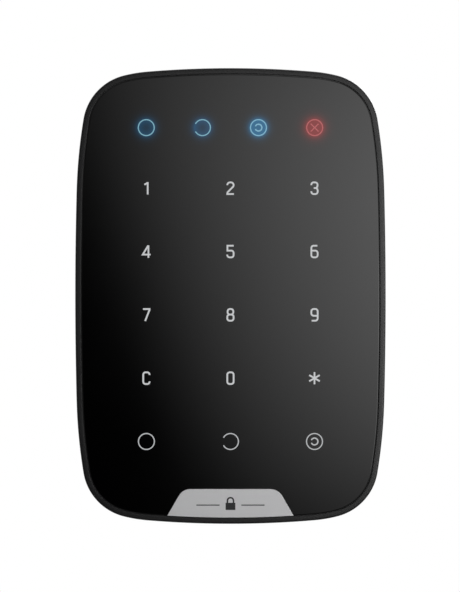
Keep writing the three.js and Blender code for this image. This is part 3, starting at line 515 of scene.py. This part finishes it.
def stroke_outline(path, closed, width):
    """Left and right edges of a stroke along a path, with mitred corners."""
    path = [p for i, p in enumerate(path) if i == 0 or math.dist(p, path[i - 1]) > SAME_POINT]
    count = len(path)
    left, right = [], []
    for i, (x, z) in enumerate(path):
        before = path[i - 1] if closed or i > 0 else None
        after = path[(i + 1) % count] if closed or i + 1 < count else None
        ways = []
        if before:
            ways.append(Vector((x - before[0], z - before[1])).normalized())
        if after:
            ways.append(Vector((after[0] - x, after[1] - z)).normalized())
        along = sum(ways, Vector((0, 0))).normalized()
        side = Vector((-along.y, along.x))
        lean = max(side.dot(Vector((-ways[0].y, ways[0].x))), LEAST_MITRE)
        offset = side * (width / 2 / lean)
        left.append((x + offset.x, z + offset.y))
        right.append((x - offset.x, z - offset.y))
    return left, right


def stroke(name, path, closed, width, back, front):
    """A flat stroke of ink along a path, as a thin solid."""
    left, right = stroke_outline(path, closed, width)
    count = len(left)
    points = [(x, d, z) for d in (back, front) for side in (left, right) for x, z in side]
    lb, rb, lf, rf = 0, count, 2 * count, 3 * count
    faces = []
    for i in range(count if closed else count - 1):
        k = (i + 1) % count
        faces += [
            (lb + i, lb + k, rb + k, rb + i),
            (lf + i, lf + k, rf + k, rf + i),
            (lb + i, lb + k, lf + k, lf + i),
            (rb + i, rb + k, rf + k, rf + i),
        ]
    if not closed:
        last = count - 1
        faces += [(lb, rb, rf, lf), (lb + last, rb + last, rf + last, lf + last)]
    return mesh_object(name, points, faces)


def sign(name, strokes, x, z, width):
    """A whole sign, its crossing strokes joined. A stroke may bring a width of its own."""
    made = None
    for path, closed, *own_width in strokes:
        moved = [(px + x, pz + z) for px, pz in path]
        piece = stroke(name, moved, closed, *(own_width or [width]), LEGEND_BACK, LEGEND_FRONT)
        made = piece if made is None else boolean(made, piece, "UNION")
    made.name = name
    return made


def make_legends():
    white = printed_light("legend_white", (0.48, 0.49, 0.50))
    soft_white = printed_light("legend_soft_white", (0.40, 0.41, 0.42))
    blue = printed_light("legend_blue", (0.173, 0.366, 0.453))
    bright_blue = printed_light("legend_bright_blue", (0.177, 0.385, 0.517))
    red = printed_light("legend_red", (0.40, 0.10, 0.105))
    indicators = [
        ("indicator_ring", ring, blue),
        ("indicator_open_ring", open_ring, blue),
        ("indicator_double_ring", double_ring, bright_blue),
        ("indicator_crossed_ring", crossed_ring, red),
    ]
    for (name, strokes, material), x in zip(indicators, INDICATORS_X):
        piece = sign(name, strokes(), x, INDICATORS_Z, RING_STROKE)
        finished(piece, "keypad", "gloss_panel", material)
    keys = [
        ("key_1", one), ("key_2", two), ("key_3", three),
        ("key_4", four), ("key_5", five), ("key_6", six),
        ("key_7", seven), ("key_8", eight), ("key_9", nine),
        ("key_c", letter_c), ("key_0", zero), ("key_asterisk", asterisk),
        ("key_ring", ring), ("key_open_ring", open_ring), ("key_double_ring", double_ring),
    ]
    for i, (name, strokes) in enumerate(keys):
        in_ring = name.endswith("ring")
        x = KEY_COLUMNS[i % len(KEY_COLUMNS)]
        z = KEY_TOP - KEY_PITCH * (i // len(KEY_COLUMNS))
        piece = sign(name, strokes(), x, z, RING_STROKE if in_ring else STROKE)
        finished(piece, "keypad", "gloss_panel", soft_white if in_ring else white)


# ---------------------------------------------------------------- touch panel

PANEL_INSET = 1.95
PANEL_EDGE = 0.42
PANEL_BACK_CHAMFER = 0.1

BADGE_FOOT = -76.0
BADGE_FOOT_HALF = 22.94
BADGE_TOP = -63.5
BADGE_CORNER = 4.5
BADGE_SLANT = 60
BADGE_FIT = 0.12
RECESS_BEHIND_BADGE = 0.15


def badge_outline(grow):
    """The badge's trapezium with rounded top corners, grown by the given amount."""
    slant = math.radians(BADGE_SLANT)
    top, radius = BADGE_TOP + grow, BADGE_CORNER + grow
    half = BADGE_FOOT_HALF + grow / math.sin(slant) - (top - BADGE_FOOT) / math.tan(slant)
    cx = half - radius * math.tan(slant / 2)
    cz = top - radius
    lean = 90 - BADGE_SLANT
    shape = [(-BADGE_FOOT_HALF - grow, BADGE_FOOT), (BADGE_FOOT_HALF + grow, BADGE_FOOT)]
    shape += arc(cx, cz, radius, lean, 90, steps=14)
    shape += arc(-cx, cz, radius, 90, 180 - lean, steps=14)
    return shape


GLOW_RISE = 1.5
GLOWS = [
    # place across, colour, reach beyond the ring in mm, how full it is at the centre
    (INDICATORS_X[0], (0.0, 0.050, 0.110), 0.83, 0.42),
    (INDICATORS_X[1], (0.0, 0.053, 0.125), 0.83, 0.42),
    (INDICATORS_X[2], (0.0, 0.112, 0.240), 0.75, 0.88),
    (INDICATORS_X[3], (0.19, 0.002, 0.003), 1.0, 0.95),
]


def panel_glow(shader):
    """Light that leaks round the four indicators, in the panel's own coordinates."""
    total = None
    for x, color, fade, fill in GLOWS:
        distance = shader.add("ShaderNodeVectorMath", operation="DISTANCE")
        shader.link(shader.where, distance.inputs[0])
        distance.inputs[1].default_value = (x * MM, -FRONT * MM, INDICATORS_Z * MM)
        away = shader.math("DIVIDE", distance.outputs["Value"], MM)
        beyond = shader.math("MAXIMUM", shader.math("SUBTRACT", away, RING), 0.0)
        outside = shader.math("EXPONENT", shader.math("DIVIDE", beyond, -fade))
        within = shader.math("POWER", shader.math("DIVIDE", away, RING, clamp=True), GLOW_RISE)
        inside = shader.math("ADD", shader.math("MULTIPLY", within, 1 - fill), fill)
        amount = shader.math("MULTIPLY", outside, inside)
        tint = shader.add("ShaderNodeVectorMath", operation="SCALE")
        tint.inputs[0].default_value = color
        shader.link(amount, tint.inputs["Scale"])
        if total is None:
            total = tint.outputs[0]
        else:
            both = shader.add("ShaderNodeVectorMath", operation="ADD")
            shader.link(total, both.inputs[0])
            shader.link(tint.outputs[0], both.inputs[1])
            total = both.outputs[0]
    shader.link(total, shader.main.inputs["Emission Color"])
    shader.main.inputs["Emission Strength"].default_value = 1.0


def gloss_material():
    shader = Shader("gloss_panel", (0.0005, 0.0005, 0.0006), roughness=0.05)
    smear = shader.noise(size=22, detail=2)
    shader.link(shader.between(smear, low=0.045, high=0.07), shader.main.inputs["Roughness"])
    panel_glow(shader)
    return shader.material


def make_touch_panel():
    back = -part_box("touch_panel")[1].y / MM
    levels = [(PANEL_INSET + PANEL_BACK_CHAMFER, back), (PANEL_INSET, back + PANEL_BACK_CHAMFER)]
    for degrees in range(0, 91, 15):
        across, along = polar(0, 0, PANEL_EDGE, degrees)
        levels.append((PANEL_INSET + PANEL_EDGE - across, PANEL_FRONT - PANEL_EDGE + along))
    panel = lofted_plate("touch_panel_gloss", levels)
    recess_floor = -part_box("badge_plate")[1].y / MM - RECESS_BEHIND_BADGE
    recess = prism("recess", badge_outline(BADGE_FIT), recess_floor, FRONT + CUT_PAST)
    boolean(panel, recess, "DIFFERENCE")
    smooth(panel, angle=30)
    finished(panel, "keypad", "gloss_panel", gloss_material(), "touch_panel")


# ---------------------------------------------------------------- badge plate


def badge_material():
    shader = Shader("badge_metal", (0.9, 0.9, 0.905), roughness=0.48, metallic=1.0)
    grain = shader.noise(size=0.16, detail=4)
    broad = shader.noise(size=9, detail=2)
    shader.link(shader.between(broad, low=0.44, high=0.52), shader.main.inputs["Roughness"])
    shader.link(shader.mixed(grain, (0.86, 0.86, 0.87), (0.93, 0.93, 0.94)),
                shader.main.inputs["Base Color"])
    shader.bump(grain, depth=0.002)
    return shader.material


EMBLEM_Z = -68.4
PADLOCK_BODY = [(-1.6, -2.0), (1.6, -2.0), (1.6, 0.35), (-1.6, 0.35)]
PADLOCK_SHACKLE = [(-1.0, 0.2), *arc(0, 1.05, 1.0, 180, 0, steps=12), (1.0, 0.2)]
SHACKLE_STROKE = 0.5
SIDE_LINE = [(3.6, -0.4), (11.2, -0.4)]
SIDE_LINE_STROKE = 0.34


def on_badge(points, side=1):
    """Emblem points moved to their place on the badge, mirrored where side is -1."""
    return [(side * x, z + EMBLEM_Z) for x, z in points]


def make_badge():
    back = -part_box("badge_plate")[1].y / MM
    badge = prism("badge_plate_brushed", badge_outline(0), back, PANEL_FRONT)
    inset = PANEL_INSET + BADGE_FIT
    within = lofted_plate("within", [(inset, back - CUT_PAST), (inset, FRONT + CUT_PAST)])
    boolean(badge, within, "INTERSECT")
    bevelled(badge, width=0.09, segments=2, angle=50)
    smooth(badge, angle=30)
    finished(badge, "keypad", "badge_metal", badge_material(), "badge_plate")
    make_emblem()


def make_emblem():
    """A small generic padlock between two lines, in dark ink."""
    ink = moulded("badge_ink", (0.02, 0.02, 0.022), 0.4)
    padlock = prism("emblem_padlock", on_badge(PADLOCK_BODY), LEGEND_BACK, LEGEND_FRONT)
    shackle = stroke("shackle", on_badge(PADLOCK_SHACKLE), False, SHACKLE_STROKE,
                     LEGEND_BACK, LEGEND_FRONT)
    boolean(padlock, shackle, "UNION")
    finished(padlock, "keypad", "badge_metal", ink)
    for side, name in ((-1, "emblem_left_line"), (1, "emblem_right_line")):
        line = stroke(name, on_badge(SIDE_LINE, side), False, SIDE_LINE_STROKE,
                      LEGEND_BACK, LEGEND_FRONT)
        finished(line, "keypad", "badge_metal", ink)


# ---------------------------------------------------------------- casing


CORNER_STEPS = 5


def rounded(profile, radii):
    """A closed profile with its corners rounded by the given radii (0 keeps a corner)."""
    result = []
    count = len(profile)
    for i, (point, radius) in enumerate(zip(profile, radii)):
        here = Vector(point)
        if radius == 0:
            result.append(tuple(here))
            continue
        to_last = (Vector(profile[i - 1]) - here).normalized()
        to_next = (Vector(profile[(i + 1) % count]) - here).normalized()
        half = to_last.angle(to_next) / 2
        reach = radius / math.tan(half)
        centre = here + (to_last + to_next).normalized() * (radius / math.sin(half))
        start = here + to_last * reach - centre
        end = here + to_next * reach - centre
        sweep = start.angle_signed(end)
        for j in range(CORNER_STEPS + 1):
            turn = start.copy()
            turn.rotate(Matrix.Rotation(-sweep * j / CORNER_STEPS, 2))
            result.append(tuple(centre + turn))
    return result


def upright_cylinder(name, centre, radius, length):
    """A round bar standing along Z, in mm."""
    mesh = bpy.data.meshes.new(name)
    work = bmesh.new()
    bmesh.ops.create_cone(work, cap_ends=True, segments=48, radius1=radius * MM,
                          radius2=radius * MM, depth=length * MM)
    bmesh.ops.translate(work, vec=Vector(centre) * MM, verts=work.verts)
    work.to_mesh(mesh)
    work.free()
    return new_object(name, mesh)


# The frame's section, from the back edge round the outside: (inset, distance from the wall,
# corner radius), where None is the front. The lip ends in a shallow groove, then a ledge that
# the panel lies on.
SIDE_FULL = 12.4
LEDGE = (11.9, 12.7)
GROOVE_FLOOR = 13.1
FRAME_SECTION = (
    (0.0, SIDE_FULL, 12),
    (0.0, None, 0.55),
    (1.77, None, 0.06),
    (1.77, GROOVE_FLOOR, 0.03),
    (1.92, GROOVE_FLOOR, 0),
    (1.92, LEDGE[1], 0.03),
    (4.0, LEDGE[1], 0.1),
    (4.0, LEDGE[0], 0.1),
    (2.2, LEDGE[0], 0.3),
)
BACK_EDGE = ((0.7, 0.3), (2.2, 0.2))

# The locking screw's hole, as radius and reach above the foot of the screw's head: the bore
# that its shank goes through, then the seat of its head.
LOCK_HOLES = {"bore": (1.5, 7), "seat": (2.0, 1.15)}
LOCK_HOLE_BELOW = 2


def make_front_frame():
    low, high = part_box("front_frame")
    back, front = -high.y / MM, -low.y / MM
    (outer, outer_radius), (inner, inner_radius) = BACK_EDGE
    section = [(outer, back, outer_radius), *FRAME_SECTION, (inner, back, inner_radius)]
    profile = [(inset, front if away is None else away) for inset, away, _ in section]
    shell = swept_ring("front_frame_shell", rounded(profile, [radius for *_, radius in section]))
    cut_lock_bore(shell)
    smooth(shell, angle=35)
    satin = moulded("casing_satin", (0.010, 0.010, 0.0105), 0.24, grain=0.22, depth=0.006,
                    variation=0.03)
    finished(shell, "keypad", "casing", satin, "front_frame")


def cut_lock_bore(shell):
    """The hole that the locking screw enters from below, with the seat of its head."""
    low, high = (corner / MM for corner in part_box("locking_screw"))
    x, y = (low.x + high.x) / 2, (low.y + high.y) / 2
    for name, (radius, reach) in LOCK_HOLES.items():
        centre = (x, y, low.z + (reach - LOCK_HOLE_BELOW) / 2)
        tool = upright_cylinder(name, centre, radius, reach + LOCK_HOLE_BELOW)
        boolean(shell, tool, "DIFFERENCE")


MERGE_WITHIN = 1e-6
FLAT_WITHIN = math.radians(0.5)


def refined(node, name, bevel, segments):
    """A copy of a CAD node, its flat faces whole and its edges lightly rounded."""
    mesh = NODES[node].data.copy()
    work = bmesh.new()
    work.from_mesh(mesh)
    bmesh.ops.remove_doubles(work, verts=work.verts, dist=MERGE_WITHIN)
    bmesh.ops.dissolve_limit(work, angle_limit=FLAT_WITHIN, verts=work.verts, edges=work.edges)
    work.to_mesh(mesh)
    work.free()
    mesh.name = name
    return smooth(bevelled(new_object(name, mesh), bevel, segments), angle=35)


def rear_rows():
    """Node, name, body, slot, bevel and bevel segments of each refined piece."""
    rows = [
        ("mounting_plate", "wall_plate", "wall_bracket", "plate_plastic", 0.12, 2),
        ("rear_cover", "rear_shell", "keypad", "rear_plastic", 0.12, 2),
        ("battery_cover", "battery_door", "keypad", "rear_plastic", 0.1, 2),
    ]
    for node in sorted(name for name in NODES if "screw_" in name):
        rows.append((node, node + "_turned", "keypad", "screw_steel", 0.08, 1))
    rows += [
        ("locking_screw", "locking_screw_turned", "lock", "screw_steel", 0.08, 1),
        ("tamper_plunger", "tamper_pin", "plunger", "button_plastic", 0.05, 1),
        ("power_button", "power_key", "button", "button_plastic", 0.05, 1),
    ]
    return rows


def make_rear_pieces():
    materials = {
        "rear_plastic": moulded("rear_plastic", (0.018, 0.018, 0.0185), 0.55, grain=0.35, depth=0.02),
        "plate_plastic": moulded("plate_plastic", (0.022, 0.022, 0.0225), 0.58, grain=0.4, depth=0.02),
        "screw_steel": metal("screw_steel", (0.30, 0.30, 0.31), 0.34),
        "button_plastic": moulded("button_plastic", (0.62, 0.62, 0.6), 0.45),
    }
    for node, name, body, slot, bevel, segments in rear_rows():
        finished(refined(node, name, bevel, segments), body, slot, materials[slot], node)


# ---------------------------------------------------------------- pieces inside


def board_material():
    shader = Shader("circuit_board", (0.01, 0.09, 0.03), roughness=0.35)
    tracks = shader.add("ShaderNodeTexBrick", offset=0.3)
    tracks.inputs["Scale"].default_value = 180
    tracks.inputs["Mortar Size"].default_value = 0.03
    tracks.inputs["Color1"].default_value = (0.008, 0.075, 0.026, 1)
    tracks.inputs["Color2"].default_value = (0.010, 0.095, 0.034, 1)
    tracks.inputs["Mortar"].default_value = (0.03, 0.17, 0.06, 1)
    turned = shader.add("ShaderNodeMapping")
    turned.inputs["Rotation"].default_value = (math.radians(90), 0, 0)
    shader.link(shader.where, turned.inputs["Vector"])
    shader.link(turned.outputs[0], tracks.inputs["Vector"])
    shader.link(tracks.outputs["Color"], shader.main.inputs["Base Color"])
    return shader.material


def cell_material():
    shader = Shader("cell_jacket", (0.03, 0.12, 0.06), roughness=0.3)
    bands = shader.add("ShaderNodeTexWave", wave_type="BANDS", bands_direction="X")
    bands.inputs["Scale"].default_value = 9
    bands.inputs["Distortion"].default_value = 0
    shader.link(shader.where, bands.inputs["Vector"])
    shader.link(shader.mixed(bands.outputs["Fac"], (0.02, 0.09, 0.045), (0.05, 0.16, 0.085)),
                shader.main.inputs["Base Color"])
    return shader.material


def inner_materials():
    """One material for each slot that only inner pieces use."""
    return {
        "label_paper": moulded("label_paper", (0.78, 0.78, 0.76), 0.7, grain=0.5),
        "adhesive": moulded("adhesive", (0.012, 0.012, 0.012), 0.8, grain=0.3),
        "sensor_film": moulded("sensor_film", (0.35, 0.4, 0.42), 0.3, grain=1.0, depth=0.002),
        "light_guide": moulded("light_guide", (0.72, 0.75, 0.78), 0.25, grain=0.6, depth=0.01),
        "circuit_board": board_material(),
        "led_resin": moulded("led_resin", (0.8, 0.78, 0.65), 0.25, grain=0.2, depth=0.002),
        "chip_plastic": moulded("chip_plastic", (0.014, 0.014, 0.014), 0.55, grain=0.2),
        "inner_plastic": moulded("inner_plastic", (0.022, 0.022, 0.024), 0.5),
        "plated_metal": metal("plated_metal", (0.62, 0.62, 0.63), 0.28),
        "ribbon_film": moulded("ribbon_film", (0.42, 0.19, 0.03), 0.35, grain=0.8, depth=0.002),
        "connector_plastic": moulded("connector_plastic", (0.74, 0.72, 0.66), 0.5),
        "red_lead": moulded("red_lead", (0.38, 0.012, 0.012), 0.45),
        "black_lead": moulded("black_lead", (0.01, 0.01, 0.01), 0.45),
        "cell_jacket": cell_material(),
    }


def dress_inner_nodes():
    materials = inner_materials()
    for row in frame["record"]["subparts"]:
        node = NODES[row["node"]]
        if node.hide_render:
            continue
        node.data.materials.clear()
        node.data.materials.append(materials[row["material_slot"]])


# ---------------------------------------------------------------- studio

CAMERA_REACH = 1.2
CARD_REACH = 2.4
FRAME_HEIGHT = 0.19475
CAMERA_OFFSET = (-0.00015, -0.00001)
FRESNEL = 0.04


def make_camera():
    data = bpy.data.cameras.new("camera")
    data.sensor_fit = "VERTICAL"
    data.sensor_height = 24
    data.lens = data.sensor_height * CAMERA_REACH / FRAME_HEIGHT
    camera = new_object("camera", data)
    camera.location = (CAMERA_OFFSET[0], -(FRONT * MM + CAMERA_REACH), CAMERA_OFFSET[1])
    camera.rotation_euler = (math.radians(90), 0, 0)
    bpy.context.scene.camera = camera


# The soft box behind the camera, as the flat panel mirrors it. Places are in mm on the panel;
# brightness is what the panel shows, so the card's own light is that over FRESNEL.
CARD_LEAN = 0.34
RAMP_START = -33.0
RAMP_SOFTNESS = 6.0
RAMP_SLOPE = 0.0124
RAMP_CURVE = 1.35e-5
RAMP_LEAST_SLOPE = 0.008
RAMP_MOST = 1.3
BAND_MIDDLE = 14.0
BAND_HALF = 106.0
BAND_POWER = 2.2
CARD_LIGHT = 0.09
CARD_ACROSS = (-0.9, 1.3)
CARD_HALF_TALL = 0.7


def card_strength(wiring):
    """Dark on the left, rising to the right along a slant, and fading up and down."""
    magnify = (1 + CARD_REACH / CAMERA_REACH) * MM
    where = wiring.add("ShaderNodeSeparateXYZ")
    wiring.link(wiring.add("ShaderNodeTexCoord").outputs["Object"], where.inputs[0])
    across = wiring.math("DIVIDE", where.outputs["X"], magnify)
    up = wiring.math("DIVIDE", where.outputs["Y"], magnify)
    slanted = wiring.math("ADD", across, wiring.math("MULTIPLY", up, CARD_LEAN))
    begun = wiring.math("DIVIDE", wiring.math("SUBTRACT", slanted, RAMP_START), RAMP_SOFTNESS)
    rise = wiring.math("ADD", wiring.math("EXPONENT", begun), 1.0)
    past = wiring.math("MULTIPLY", wiring.math("LOGARITHM", rise, math.e), RAMP_SOFTNESS)
    slope = wiring.math("SUBTRACT", RAMP_SLOPE, wiring.math("MULTIPLY", past, RAMP_CURVE))
    slope = wiring.math("MAXIMUM", slope, RAMP_LEAST_SLOPE)
    ramp = wiring.math("MINIMUM", wiring.math("MULTIPLY", past, slope), RAMP_MOST)
    offset = wiring.math("DIVIDE", wiring.math("SUBTRACT", up, BAND_MIDDLE), BAND_HALF)
    faded = wiring.math("POWER", wiring.math("ABSOLUTE", offset), BAND_POWER)
    band = wiring.math("SUBTRACT", 1.0, faded, clamp=True)
    return wiring.math("MULTIPLY", wiring.math("MULTIPLY", ramp, band), CARD_LIGHT / FRESNEL)


def card_material():
    material = bpy.data.materials.new("soft_box")
    material.use_nodes = True
    wiring = Wiring(material.node_tree)
    wiring.tree.nodes.clear()
    light = wiring.add("ShaderNodeEmission")
    wiring.link(card_strength(wiring), light.inputs["Strength"])
    output = wiring.add("ShaderNodeOutputMaterial")
    wiring.link(light.outputs[0], output.inputs["Surface"])
    return material


def make_card():
    mesh = bpy.data.meshes.new("soft_box")
    left, right = CARD_ACROSS
    low, high = -CARD_HALF_TALL, CARD_HALF_TALL
    corners = [(left, low, 0), (right, low, 0), (right, high, 0), (left, high, 0)]
    mesh.from_pydata(corners, [], [(0, 1, 2, 3)])
    card = new_object("soft_box", mesh)
    card.data.materials.append(card_material())
    card.location = (0, -(FRONT * MM + CARD_REACH), 0)
    card.rotation_euler = (math.radians(90), 0, 0)
    card.visible_camera = False
    card.visible_shadow = False


# Name, place and target in metres, size and watts.
AREA_LIGHTS = [
    ("key_right", (1.5, -0.9, 0.5), (0, 0, 0), (1.2, 1.2), 4),
    ("top", (0.3, -0.2, 1.5), (0, 0, 0), (0.8, 0.5), 3),
    ("front_low", (0.62, -1.5, -0.1), (0, 0, -0.07), (0.6, 0.26), 1.5),
    ("rear", (0.9, 1.5, 0.8), (0, 0, 0), (0.9, 0.9), 22),
]


def area_light(name, place, target, size, power):
    data = bpy.data.lights.new(name, "AREA")
    data.shape = "RECTANGLE"
    data.size, data.size_y = size
    data.energy = power
    light = new_object(name, data)
    light.location = place
    aim = Vector(target) - Vector(place)
    light.rotation_euler = aim.to_track_quat("-Z", "Y").to_euler()


FLOOR_HALF = 1.7
FLOOR_BELOW = 0.18


def make_floor():
    """A pale floor, which the object itself doesn't mirror."""
    mesh = bpy.data.meshes.new("floor")
    work = bmesh.new()
    bmesh.ops.create_grid(work, x_segments=1, y_segments=1, size=FLOOR_HALF)
    work.to_mesh(mesh)
    work.free()
    floor = new_object("floor", mesh)
    floor.location = (0, 0, LOW.z - FLOOR_BELOW)
    floor.visible_glossy = False
    floor.visible_diffuse = False
    shader = Shader("pale_floor", (0.80, 0.80, 0.80), roughness=0.7)
    shader.main.inputs["Emission Color"].default_value = (0.62, 0.62, 0.62, 1)
    shader.main.inputs["Emission Strength"].default_value = 1.0
    floor.data.materials.append(shader.material)


# How bright the studio's walls are, seen in reflections: right, left, above, below, behind.
STUDIO_WALLS = [
    ((1, 0, 0), 0.6),
    ((-1, 0, 0), 0.22),
    ((0, 0, 1), 0.50),
    ((0, 0, -1), 0.16),
    ((0, 1, 0), 0.90),
]
WALL_FALLOFF = 1.6
WALL_LEAST = 0.03


def wall_brightness(wiring):
    """The walls' light from each direction, over a faint even light."""
    where = wiring.add("ShaderNodeTexCoord").outputs["Generated"]
    total = WALL_LEAST
    for way, brightness in STUDIO_WALLS:
        facing = wiring.add("ShaderNodeVectorMath", operation="DOT_PRODUCT")
        wiring.link(where, facing.inputs[0])
        facing.inputs[1].default_value = way
        ahead = wiring.math("MAXIMUM", facing.outputs["Value"], 0.0)
        curve = wiring.math("POWER", ahead, WALL_FALLOFF)
        total = wiring.math("MULTIPLY_ADD", curve, brightness, total)
    return total


def make_world():
    """White behind the object, and soft grey studio walls for reflections and fill."""
    world = bpy.data.worlds.new("studio")
    bpy.context.scene.world = world
    world.use_nodes = True
    wiring = Wiring(world.node_tree)
    walls = wiring.tree.nodes["Background"]
    white = wiring.add("ShaderNodeBackground")
    for background in (walls, white):
        background.inputs["Color"].default_value = (1, 1, 1, 1)
    wiring.link(wall_brightness(wiring), walls.inputs["Strength"])
    choose = wiring.add("ShaderNodeMixShader")
    wiring.link(wiring.add("ShaderNodeLightPath").outputs["Is Camera Ray"], choose.inputs[0])
    wiring.link(walls.outputs[0], choose.inputs[1])
    wiring.link(white.outputs[0], choose.inputs[2])
    wiring.link(choose.outputs[0], wiring.tree.nodes["World Output"].inputs["Surface"])


def make_studio():
    make_camera()
    make_card()
    make_floor()
    make_world()
    for settings in AREA_LIGHTS:
        area_light(*settings)
    bpy.context.scene.view_settings.view_transform = "Standard"


# ---------------------------------------------------------------- the whole scene

make_studio()
make_front_frame()
make_touch_panel()
make_badge()
make_legends()
make_rear_pieces()
dress_inner_nodes()
